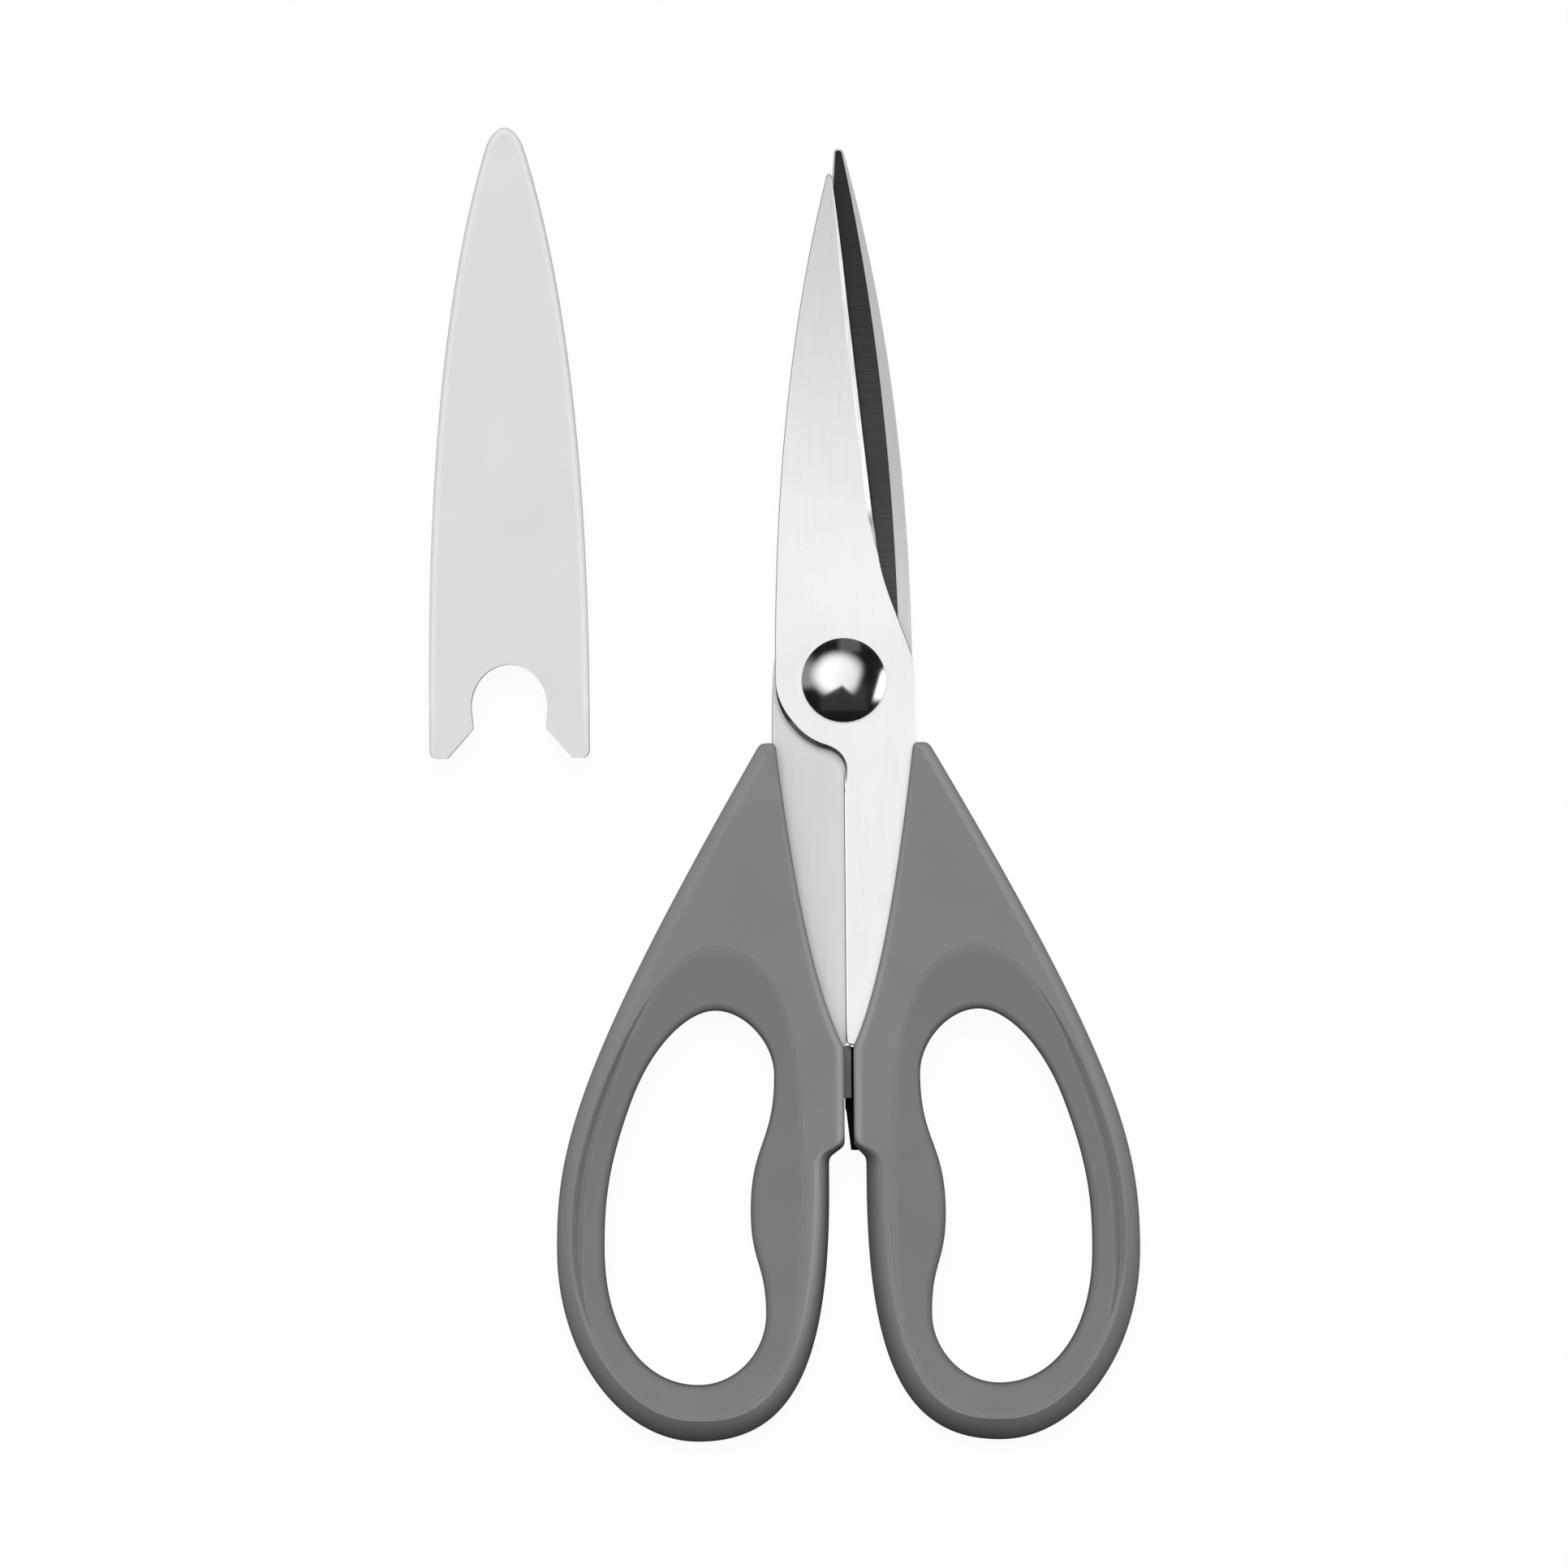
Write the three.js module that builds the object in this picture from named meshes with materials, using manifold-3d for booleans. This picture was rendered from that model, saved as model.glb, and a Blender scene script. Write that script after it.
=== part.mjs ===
// Multipurpose kitchen shears lying closed on a table, with their blade sheath taken off beside them.
// Millimetres. +X runs across the shears, +Y from the pivot to the blade tips, +Z up.
// The origin is on the pivot's axis, where the flat back of the pivot cap meets the table.
// Each half is drawn as the front one: blade leaning left, handle on the right, z = 0 between the blades.
// The back half is a like half turned over about the Y axis.

import * as THREE from "three";
import { mergeVertices } from "three/addons/utils/BufferGeometryUtils.js";
import Module from "manifold-3d";

// Driving dimensions: clearances
const FIT_GAP = 0.3; // round a piece that seats in another
const RUNNING_GAP = 0.15; // between pieces that turn on the pivot

// Driving dimensions: blades
const BLADE_THICKNESS = 2.2;
const BLADE_GAP = 0.3; // between the mating faces
const FRONT_REACH = 88.2; // pivot to the front blade's tip
const BACK_REACH = 91; // pivot to the back blade's tip
const FRONT_TIP_OFFSET = 1.1; // centre line to the tip, towards the blade's own spine
const BACK_TIP_OFFSET = 0.1;
const TIP_WIDTH = 0.7;
const BLADE_HALF_WIDTH = 11.8; // pivot to spine, and the radius of the shoulder round the pivot
const SPINE_SWELL = 50; // how far up the blade the spine keeps its width
const HEEL_HEIGHT = 21; // lower end of the straight cutting edge, above the pivot
const HEEL_OFFSET = 6; // and its distance from the centre line
const HEEL_BEND = 6.7; // bend of the curve below the heel, from the centre line
const CHOIL_HEIGHT = 4; // where the curve from the heel meets the tang's outer edge
const EDGE_BEVEL_WIDTH = 1.3;
const EDGE_THICKNESS = 0.4; // left at the cutting edge under its bevel
const HOLLOW_DEPTH = 0.4; // hollow grind of the mating face
const SPINE_LAND = 2.7; // flat strip left along the spine
const EDGE_LAND = 0.9; // flat strip left along the cutting edge
const TIP_LAND = 2; // flat left below the tip
const PIVOT_LAND_RADIUS = 13; // flat left round the pivot

// Driving dimensions: tangs, which run down inside the handles
const TANG_FLARE = 0.6; // how far the tang's outer edge stands out past the blade's half width
const NECK_DROP = 4; // below the shoulder, where its curve turns into the tang's inner edge
const SHOULDER_SWEEP = 70; // degrees of shoulder from the spine round to the neck
const SEAM_HALF_GAP = 0.15; // centre line to each tang's inner edge
const TANG_EMBED = 5.2; // hidden width inside the handle
const TANG_COVER = 0.6; // how far the handle's top laps over the tang's outer edge
const ANCHOR_DIAMETER = 3.4; // holes through which the handle is moulded

// Driving dimensions: pivot
const SHANK_DIAMETER = 6;
const DOME_DIAMETER = 14.4;
const DOME_HEIGHT = 2.9;
const DOME_RIM = 0.4; // straight edge below the dome
const CAP_DIAMETER = 13;
const CAP_HEIGHT = 2;
const CAP_FLOOR = 0.8; // closed back of the cap
const CAP_CHAMFER = 0.5;
const SPRING_THICKNESS = 0.5;
const SPRING_RISE = 0.4; // dish of the spring washer
const SPRING_WIDTH = 2.8;
const SPACER_THICKNESS = 0.8;
const SPACER_WIDTH = 2.8;

// Driving dimensions: handles
const HANDLE_TOP = 11.2; // below the pivot
const HANDLE_TOP_WIDTH = 2.6;
const HANDLE_REACH = 130.3; // pivot to the lowest point
const HANDLE_HALF_SPAN = 49.9; // centre line to the widest point
const BOW_WIDEST = 97.5; // below the pivot
const BOW_LOWEST = 25.8; // from the centre line
const SIDE_LEAN = 30.3; // degrees from the centre line, down from the top
const SIDE_RUN = 65; // length of the side's lean before it turns down
const SIDE_ROUND = 17.2; // length of the turn above the widest point
const EDGE_BEND = 7.2; // bend of the edge across the tang: from the centre line
const EDGE_BEND_DROP = 50; // and below the pivot
const HANDLE_BEVEL = 1.3;
const BEVELS_ACROSS_RIM = 2.6; // the bevel is limited so that this many fit across the rim
const STOP_TOP = 62.8; // stop faces, below the pivot
const STOP_LENGTH = 17;
const STOP_HALF_GAP = 1.1;
const LEG_HALF_GAP = 3.2; // between the inner legs, below the stops
const LEG_STEP = 3.2; // height of the step from the stop face to the leg
const LEG_TOP = 86; // where the inner leg starts to curve out
const STOP_RIB_LENGTH = 8;
const STOP_RIB_DEPTH = 4;

// Driving dimensions: soft grips lining the bows
const RIM_WIDTH = 4.1; // hard rim outside the grip
const LEG_RIM = 4; // hard rim on the inner leg
const GRIP_TOP = 45.4; // below the pivot
const GRIP_PEAK = 22.5; // from the centre line
const GRIP_CROWN = 11; // width of the grip above the finger hole
const GRIP_SIDE = 4;
const GRIP_FOOT = 5.6;
const GRIP_LEG = 9.5; // at the thumb swell of the inner leg
const SWELL_HEIGHT = 91; // below the pivot
const UPPER_HOLLOW = 4.2; // hole's depth past the swell, above it
const UPPER_HOLLOW_RISE = 23.6; // from the swell up to that hollow
const LOWER_HOLLOW = 2.5; // hole's depth past the swell, below it
const LOWER_HOLLOW_FALL = 17.3; // from the swell down to that hollow
const GRIP_INSET = 0.5; // below the handle's faces
const GRIP_SCOOP = 2.8; // how far the grip's faces slope in towards the hole
const GRIP_ROUND = 0.8; // drop of its rounded edges
const GRIP_EDGE_SHARE = 0.12; // and the share of its width that each takes
const RIB_DEPTH = 1.2; // rib of the handle that keys into the grip
const RIB_HEIGHT = 3;

// Driving dimensions: sheath
const SHEATH_WALL = 1.2;
const SHEATH_SIDE_ROOM = 0.7; // beside the blades at the pivot
const SHEATH_FACE_ROOM = 0.4; // over and under the blades
const SHEATH_TIP_ROOM = 7.1; // beyond the tip
const SHEATH_TIP_HALF_WIDTH = 3.2;
const SHEATH_TIP_ROUND = 3.4; // height of the rounded tip
const SHEATH_SWELL = 62; // how far up the sheath its sides keep their width
const SHEATH_MOUTH = 8.7; // mouth, below the pivot when the sheath is on
const SHEATH_BEVEL = 1;
const NOTCH_GRIP = 0.65; // the notch is this much smaller in radius than the dome's rim
const NOTCH_LIP_DROP = 3.6; // lips below the centre of the notch
const NOTCH_LIP_PINCH = 0.35; // and how far they close in
const FOOT_WIDTH = 3; // each leg of the mouth
const FOOT_ROUND = 1.3; // rounding of its outer corner
const SHEATH_AWAY = 57.3; // sheath's centre line to the shears' centre line, off the blades
const SHEATH_DROP = 4.2; // and lower than its place on the blades

// Fullness of the quarter turns: 0.55 is close to an arc, less is flatter and more is squarer
const ARC_FULLNESS = 0.55;
const LEG_FULLNESS = 0.71; // handle and grip, from their lowest point up the inner leg
const GRIP_CROWN_FULLNESS = 0.62; // grip's outer outline, round from the top
const GRIP_LEG_FULLNESS = 0.68;
const HOLE_CROWN_FULLNESS = 0.58; // finger hole, round from the top
const HOLE_FOOT_FULLNESS = 0.6;
const HOLE_LEG_FULLNESS = 0.5;

// Shares of the way down the handle's side where the crowns of the grip and the finger hole run into it
const GRIP_CROWN_END = 0.4;
const HOLE_CROWN_END = 0.5;

// Facets
const MERGE_DISTANCE = 1e-4;
const CURVE_STEPS = 9;
const SIDE_STEPS = 12;
const GRIP_STEPS = 56; // round the grip
const ROUND_STEPS = 36;
const BEVEL_STEPS = 2;
const DOME_STEPS = 8;

// Worked out from the driving dimensions
const SHANK_RADIUS = SHANK_DIAMETER / 2;
const BORE_RADIUS = SHANK_RADIUS + RUNNING_GAP;
const DOME_RADIUS = DOME_DIAMETER / 2;
const SPACER_RADIUS = BORE_RADIUS + SPACER_WIDTH;
const BLADE_INNER_Z = BLADE_GAP / 2;
const BLADE_OUTER_Z = BLADE_INNER_Z + BLADE_THICKNESS;
const SPRING_BOTTOM = CAP_HEIGHT + RUNNING_GAP;
const SPRING_TOP = SPRING_BOTTOM + SPRING_RISE + SPRING_THICKNESS;
const MID_Z = SPRING_TOP + RUNNING_GAP + BLADE_OUTER_Z;
const HANDLE_THICKNESS = 2 * MID_Z;
const TANG_HALF_WIDTH = BLADE_HALF_WIDTH + TANG_FLARE;
const BOW_BEVEL = Math.min(HANDLE_BEVEL, (RIM_WIDTH - FIT_GAP) / BEVELS_ACROSS_RIM);
const HANDLE_TOP_INNER = TANG_HALF_WIDTH - TANG_COVER;
const STOP_BOTTOM = STOP_TOP + STOP_LENGTH;
const TANG_END = STOP_TOP - FIT_GAP;
const SHEATH_HALF_WIDTH = BLADE_HALF_WIDTH + SHEATH_SIDE_ROOM + SHEATH_WALL;
const SHEATH_TIP = Math.max(FRONT_REACH, BACK_REACH) + SHEATH_TIP_ROOM + SHEATH_WALL;
const SHEATH_CAVITY = 2 * BLADE_OUTER_Z + 2 * SHEATH_FACE_ROOM;
const SHEATH_THICKNESS = SHEATH_CAVITY + 2 * SHEATH_WALL;
const CUT_MARGIN = 2; // cutters reach this far past what they cut

// Solids: closed meshes that are joined and cut
const wasm = await Module();
wasm.setup();

function toSolid(geometry) {
  const bare = geometry.clone();
  bare.deleteAttribute("normal");
  bare.deleteAttribute("uv");
  const merged = mergeVertices(bare, MERGE_DISTANCE);
  return new wasm.Manifold(
    new wasm.Mesh({
      numProp: 3,
      vertProperties: merged.attributes.position.array,
      triVerts: new Uint32Array(merged.index.array),
    }),
  );
}

function toGeometry(solid) {
  const mesh = solid.getMesh();
  const geometry = new THREE.BufferGeometry();
  geometry.setAttribute("position", new THREE.BufferAttribute(new Float32Array(mesh.vertProperties), 3));
  geometry.setIndex(new THREE.BufferAttribute(new Uint32Array(mesh.triVerts), 1));
  geometry.computeVertexNormals();
  return geometry;
}

// A flat slab of an outline between two heights.
function slab(shape, bottom, top) {
  const geometry = new THREE.ExtrudeGeometry(shape, {
    depth: top - bottom,
    bevelEnabled: false,
    curveSegments: CURVE_STEPS,
  });
  return geometry.translate(0, 0, bottom);
}

// The same with its upper and lower edges rounded off inside the outline.
function roundedSlab(shape, bottom, top, bevel) {
  const geometry = new THREE.ExtrudeGeometry(shape, {
    depth: top - bottom - 2 * bevel,
    bevelThickness: bevel,
    bevelSize: bevel,
    bevelOffset: -bevel,
    bevelSegments: BEVEL_STEPS,
    curveSegments: CURVE_STEPS,
  });
  return geometry.translate(0, 0, bottom + bevel);
}

function disc(radius, bottom, top, x = 0, y = 0) {
  const geometry = new THREE.CylinderGeometry(radius, radius, top - bottom, ROUND_STEPS);
  return geometry.rotateX(Math.PI / 2).translate(x, y, (bottom + top) / 2);
}

// A turned piece about the Z axis, from [radius, height] pairs.
function turned(profile) {
  const points = profile.map(([radius, height]) => new THREE.Vector2(radius, height));
  return new THREE.LatheGeometry(points, ROUND_STEPS).rotateX(Math.PI / 2);
}

// Outlines

// Rounds a quarter turn to (x, y) by way of the corner where the two straight runs would meet.
function quarterTurn(path, cornerX, cornerY, x, y, fullness = ARC_FULLNESS) {
  const start = path.currentPoint.clone();
  path.bezierCurveTo(
    start.x + (cornerX - start.x) * fullness,
    start.y + (cornerY - start.y) * fullness,
    x + (cornerX - x) * fullness,
    y + (cornerY - y) * fullness,
    x,
    y,
  );
}

// Sways sideways to (x, y), running up or down at both ends.
function sway(path, x, y) {
  const start = path.currentPoint.clone();
  const middle = (start.y + y) / 2;
  path.bezierCurveTo(start.x, middle, x, middle, x, y);
}

// A closed outline's points, evenly spaced, without the one that repeats its start.
function spacedOutline(path, steps) {
  return path.getSpacedPoints(steps).slice(0, steps);
}

// Moves every side of a closed outline outwards by a distance, or inwards if it is negative.
function offsetOutline(points, distance) {
  const outwards = THREE.ShapeUtils.isClockWise(points) ? -distance : distance;
  return points.map((point, i) => {
    const before = points.at(i - 1);
    const after = points[(i + 1) % points.length];
    const inDirection = point.clone().sub(before).normalize();
    const outDirection = after.clone().sub(point).normalize();
    const inNormal = new THREE.Vector2(inDirection.y, -inDirection.x);
    const outNormal = new THREE.Vector2(outDirection.y, -outDirection.x);
    const miter = inNormal.clone().add(outNormal).normalize();
    return point.clone().addScaledVector(miter, outwards / miter.dot(outNormal));
  });
}

// Adds a hole to a shape, run round the other way from its outline.
function cutHole(shape, points) {
  const clockwise = THREE.ShapeUtils.isClockWise(shape.getPoints());
  const sameWay = THREE.ShapeUtils.isClockWise(points) === clockwise;
  shape.holes.push(new THREE.Path(sameWay ? points.toReversed() : points));
}

// The handle's edge across the tang, from the stop up to the handle's top.
const HANDLE_EDGE = new THREE.QuadraticBezierCurve(
  new THREE.Vector2(STOP_HALF_GAP, -STOP_TOP),
  new THREE.Vector2(EDGE_BEND, -EDGE_BEND_DROP),
  new THREE.Vector2(HANDLE_TOP_INNER, -HANDLE_TOP),
);

// The handle's outer side, from its top down to the widest point of the bow.
const TOP_OUTER = HANDLE_TOP_INNER + HANDLE_TOP_WIDTH;
const LEAN = THREE.MathUtils.degToRad(SIDE_LEAN);
const HANDLE_SIDE = new THREE.CubicBezierCurve(
  new THREE.Vector2(TOP_OUTER, -HANDLE_TOP),
  new THREE.Vector2(TOP_OUTER + SIDE_RUN * Math.sin(LEAN), -HANDLE_TOP - SIDE_RUN * Math.cos(LEAN)),
  new THREE.Vector2(HANDLE_HALF_SPAN, -BOW_WIDEST + SIDE_ROUND),
  new THREE.Vector2(HANDLE_HALF_SPAN, -BOW_WIDEST),
);

// Shares of the way up the edge across the tang: bends of the tang's hidden side, and its anchor holes
const TANG_STATIONS = { low: 0.05, middle: 0.5, high: 0.8 };
const ANCHOR_STATIONS = [0.55, 0.8];

function bladeShape(reach, tipOffset) {
  const shape = new THREE.Shape();
  const low = HANDLE_EDGE.getPoint(TANG_STATIONS.low);
  const middle = HANDLE_EDGE.getPoint(TANG_STATIONS.middle);
  const high = HANDLE_EDGE.getPoint(TANG_STATIONS.high);
  const neck = THREE.MathUtils.degToRad(180 + SHOULDER_SWEEP);
  shape.moveTo(-tipOffset + TIP_WIDTH / 2, reach);
  shape.lineTo(HEEL_OFFSET, HEEL_HEIGHT);
  shape.quadraticCurveTo(HEEL_BEND, (HEEL_HEIGHT + CHOIL_HEIGHT) / 2, BLADE_HALF_WIDTH, CHOIL_HEIGHT);
  shape.quadraticCurveTo(TANG_HALF_WIDTH, 0, TANG_HALF_WIDTH, -HANDLE_TOP);
  shape.lineTo(high.x + TANG_EMBED, high.y);
  shape.lineTo(middle.x + TANG_EMBED, middle.y);
  shape.lineTo(low.x + FIT_GAP, -TANG_END);
  shape.lineTo(SEAM_HALF_GAP, -TANG_END);
  shape.lineTo(SEAM_HALF_GAP, -BLADE_HALF_WIDTH - NECK_DROP);
  shape.quadraticCurveTo(
    SEAM_HALF_GAP,
    -BLADE_HALF_WIDTH,
    BLADE_HALF_WIDTH * Math.cos(neck),
    BLADE_HALF_WIDTH * Math.sin(neck),
  );
  shape.absarc(0, 0, BLADE_HALF_WIDTH, neck, Math.PI, true);
  shape.quadraticCurveTo(-BLADE_HALF_WIDTH, SPINE_SWELL, -tipOffset - TIP_WIDTH / 2, reach);
  return shape;
}

function handleShape() {
  const shape = new THREE.Shape();
  shape.moveTo(HANDLE_EDGE.v0.x, HANDLE_EDGE.v0.y);
  shape.quadraticCurveTo(HANDLE_EDGE.v1.x, HANDLE_EDGE.v1.y, HANDLE_EDGE.v2.x, HANDLE_EDGE.v2.y);
  shape.lineTo(HANDLE_SIDE.v0.x, HANDLE_SIDE.v0.y);
  shape.bezierCurveTo(
    HANDLE_SIDE.v1.x,
    HANDLE_SIDE.v1.y,
    HANDLE_SIDE.v2.x,
    HANDLE_SIDE.v2.y,
    HANDLE_SIDE.v3.x,
    HANDLE_SIDE.v3.y,
  );
  quarterTurn(shape, HANDLE_HALF_SPAN, -HANDLE_REACH, BOW_LOWEST, -HANDLE_REACH);
  quarterTurn(shape, LEG_HALF_GAP, -HANDLE_REACH, LEG_HALF_GAP, -LEG_TOP, LEG_FULLNESS);
  shape.lineTo(LEG_HALF_GAP, -STOP_BOTTOM - LEG_STEP);
  shape.lineTo(STOP_HALF_GAP, -STOP_BOTTOM);
  return shape;
}

// Starts an outline inside the bow: over a crown from its peak, then down at a distance inside the
// handle's side to the bow's widest point.
function crownAndSide(path, peakY, distance, crownEnd, fullness) {
  const points = [];
  for (let i = 0; i <= SIDE_STEPS; i += 1) {
    const share = crownEnd + ((1 - crownEnd) * i) / SIDE_STEPS;
    const along = HANDLE_SIDE.getTangent(share);
    const inwards = new THREE.Vector2(along.y, -along.x);
    points.push(HANDLE_SIDE.getPoint(share).addScaledVector(inwards, distance));
  }
  const lean = HANDLE_SIDE.getTangent(crownEnd);
  const cornerX = points[0].x + (lean.x / lean.y) * (peakY - points[0].y);
  path.moveTo(GRIP_PEAK, peakY);
  quarterTurn(path, cornerX, peakY, points[0].x, points[0].y, fullness);
  for (const point of points.slice(1)) {
    path.lineTo(point.x, point.y);
  }
}

// The grip's outer outline, one hard rim inside the handle's own.
function gripOutline() {
  const side = HANDLE_HALF_SPAN - RIM_WIDTH;
  const foot = HANDLE_REACH - RIM_WIDTH;
  const leg = LEG_HALF_GAP + LEG_RIM;
  const path = new THREE.Path();
  crownAndSide(path, -GRIP_TOP, RIM_WIDTH, GRIP_CROWN_END, GRIP_CROWN_FULLNESS);
  quarterTurn(path, side, -foot, BOW_LOWEST, -foot);
  quarterTurn(path, leg, -foot, leg, -LEG_TOP, LEG_FULLNESS);
  quarterTurn(path, leg, -GRIP_TOP, GRIP_PEAK, -GRIP_TOP, GRIP_LEG_FULLNESS);
  return spacedOutline(path, GRIP_STEPS);
}

// The finger hole, with the swell of the inner leg between two hollows.
function fingerHole() {
  const side = HANDLE_HALF_SPAN - RIM_WIDTH - GRIP_SIDE;
  const foot = HANDLE_REACH - RIM_WIDTH - GRIP_FOOT;
  const top = GRIP_TOP + GRIP_CROWN;
  const swell = LEG_HALF_GAP + LEG_RIM + GRIP_LEG;
  const lowerHollow = -SWELL_HEIGHT - LOWER_HOLLOW_FALL;
  const path = new THREE.Path();
  crownAndSide(path, -top, RIM_WIDTH + GRIP_SIDE, HOLE_CROWN_END, HOLE_CROWN_FULLNESS);
  quarterTurn(path, side, -foot, BOW_LOWEST, -foot, HOLE_FOOT_FULLNESS);
  quarterTurn(path, swell - LOWER_HOLLOW, -foot, swell - LOWER_HOLLOW, lowerHollow);
  sway(path, swell, -SWELL_HEIGHT);
  sway(path, swell - UPPER_HOLLOW, UPPER_HOLLOW_RISE - SWELL_HEIGHT);
  quarterTurn(path, swell - UPPER_HOLLOW, -top, GRIP_PEAK, -top, HOLE_LEG_FULLNESS);
  return spacedOutline(path, GRIP_STEPS);
}

// The sheath's outline in its place on the blades, or one wall inside it, down to a mouth with rounded
// corners. The rounded tip keeps its form in both.
function sheathShape(inset, mouth) {
  const half = SHEATH_HALF_WIDTH - inset;
  const tipHalf = SHEATH_TIP_HALF_WIDTH - inset;
  const tipRound = SHEATH_TIP_ROUND * (tipHalf / SHEATH_TIP_HALF_WIDTH);
  const tip = SHEATH_TIP - inset;
  const shoulder = tip - tipRound;
  const lean = (half - tipHalf) / (shoulder - SHEATH_SWELL);
  const corner = tipHalf - lean * tipRound;
  const shape = new THREE.Shape();
  shape.moveTo(FOOT_ROUND - half, -mouth);
  shape.lineTo(half - FOOT_ROUND, -mouth);
  quarterTurn(shape, half, -mouth, half, FOOT_ROUND - mouth);
  shape.lineTo(half, 0);
  shape.quadraticCurveTo(half, SHEATH_SWELL, tipHalf, shoulder);
  quarterTurn(shape, corner, tip, 0, tip);
  quarterTurn(shape, -corner, tip, -tipHalf, shoulder);
  shape.quadraticCurveTo(-half, SHEATH_SWELL, -half, 0);
  shape.lineTo(-half, FOOT_ROUND - mouth);
  quarterTurn(shape, -half, -mouth, FOOT_ROUND - half, -mouth);
  return shape;
}

// The notch in the sheath's mouth, which snaps round the pivot's dome.
function notchShape() {
  const radius = DOME_RADIUS - NOTCH_GRIP;
  const lip = radius - NOTCH_LIP_PINCH;
  const mouthHalf = SHEATH_HALF_WIDTH - FOOT_WIDTH;
  const shape = new THREE.Shape();
  shape.moveTo(-mouthHalf, -SHEATH_MOUTH);
  shape.lineTo(-mouthHalf, -SHEATH_MOUTH - CUT_MARGIN);
  shape.lineTo(mouthHalf, -SHEATH_MOUTH - CUT_MARGIN);
  shape.lineTo(mouthHalf, -SHEATH_MOUTH);
  shape.lineTo(lip, -NOTCH_LIP_DROP);
  shape.lineTo(radius, 0);
  shape.absarc(0, 0, radius, 0, Math.PI, false);
  shape.lineTo(-lip, -NOTCH_LIP_DROP);
  return shape;
}

// Pieces of one half

function anchorPoints() {
  return ANCHOR_STATIONS.map((station) => {
    const edge = HANDLE_EDGE.getPoint(station);
    return new THREE.Vector2(edge.x + TANG_EMBED / 2, edge.y);
  });
}

// A wedge along the outer face that grinds the cutting edge down to its edge thickness.
function edgeGrind(reach, tipOffset) {
  const heel = new THREE.Vector3(HEEL_OFFSET, HEEL_HEIGHT, 0);
  const tip = new THREE.Vector3(-tipOffset + TIP_WIDTH / 2, reach, 0);
  const along = tip.clone().sub(heel).normalize();
  const up = new THREE.Vector3(0, 0, 1);
  const inboard = up.clone().cross(along);
  const rise = BLADE_THICKNESS - EDGE_THICKNESS;
  const low = BLADE_INNER_Z + EDGE_THICKNESS - rise;
  const high = BLADE_OUTER_Z + rise;
  const wedge = new THREE.Shape();
  wedge.moveTo(-EDGE_BEVEL_WIDTH, low);
  wedge.lineTo(2 * EDGE_BEVEL_WIDTH, high);
  wedge.lineTo(-EDGE_BEVEL_WIDTH, high);
  const geometry = slab(wedge, 0, heel.distanceTo(tip) + CUT_MARGIN);
  return geometry.applyMatrix4(new THREE.Matrix4().makeBasis(inboard, up, along).setPosition(heel));
}

// The hollow ground into the mating face, short of the spine, the edge and the pivot.
function hollowGrind(reach, tipOffset) {
  const spine = BLADE_HALF_WIDTH - SPINE_LAND;
  const shape = new THREE.Shape();
  shape.moveTo(HEEL_OFFSET - EDGE_LAND, 0);
  shape.lineTo(HEEL_OFFSET - EDGE_LAND, HEEL_HEIGHT);
  shape.lineTo(-tipOffset, reach - TIP_LAND);
  shape.quadraticCurveTo(-spine, SPINE_SWELL, -spine, 0);
  const hollow = slab(shape, BLADE_INNER_Z - CUT_MARGIN, BLADE_INNER_Z + HOLLOW_DEPTH);
  const land = disc(PIVOT_LAND_RADIUS, BLADE_INNER_Z - 2 * CUT_MARGIN, BLADE_OUTER_Z);
  return toSolid(hollow).subtract(toSolid(land));
}

function bladeGeometry(reach, tipOffset) {
  const seat = (SPACER_THICKNESS - BLADE_GAP) / 2 + RUNNING_GAP;
  let blade = toSolid(slab(bladeShape(reach, tipOffset), BLADE_INNER_Z, BLADE_OUTER_Z));
  blade = blade.subtract(toSolid(edgeGrind(reach, tipOffset)));
  blade = blade.subtract(hollowGrind(reach, tipOffset));
  blade = blade.subtract(toSolid(disc(BORE_RADIUS, 0, BLADE_OUTER_Z + CUT_MARGIN)));
  blade = blade.subtract(toSolid(disc(SPACER_RADIUS + FIT_GAP, 0, BLADE_INNER_Z + seat)));
  for (const anchor of anchorPoints()) {
    const hole = disc(ANCHOR_DIAMETER / 2, 0, BLADE_OUTER_Z + CUT_MARGIN, anchor.x, anchor.y);
    blade = blade.subtract(toSolid(hole));
  }
  return toGeometry(blade);
}

// The space that a tang takes in its handle, with pins of the handle left through the anchor holes.
function tangPocket(reach, tipOffset) {
  const bottom = BLADE_INNER_Z - FIT_GAP;
  const top = BLADE_OUTER_Z + FIT_GAP;
  const tang = bladeShape(reach, tipOffset).getPoints(CURVE_STEPS).slice(0, -1);
  let pocket = toSolid(slab(new THREE.Shape(offsetOutline(tang, FIT_GAP)), bottom, top));
  for (const anchor of anchorPoints()) {
    const radius = ANCHOR_DIAMETER / 2 - FIT_GAP;
    const pin = disc(radius, bottom - CUT_MARGIN, top + CUT_MARGIN, anchor.x, anchor.y);
    pocket = pocket.subtract(toSolid(pin));
  }
  return pocket;
}

// The rib round the bow that keys the grip to the handle, or the groove for it.
function gripRib(clearance) {
  const half = RIB_HEIGHT / 2 + clearance;
  const shape = new THREE.Shape(offsetOutline(gripOutline(), RIM_WIDTH / 2));
  cutHole(shape, offsetOutline(gripOutline(), -RIB_DEPTH - clearance));
  return toSolid(slab(shape, -half, half));
}

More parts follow.
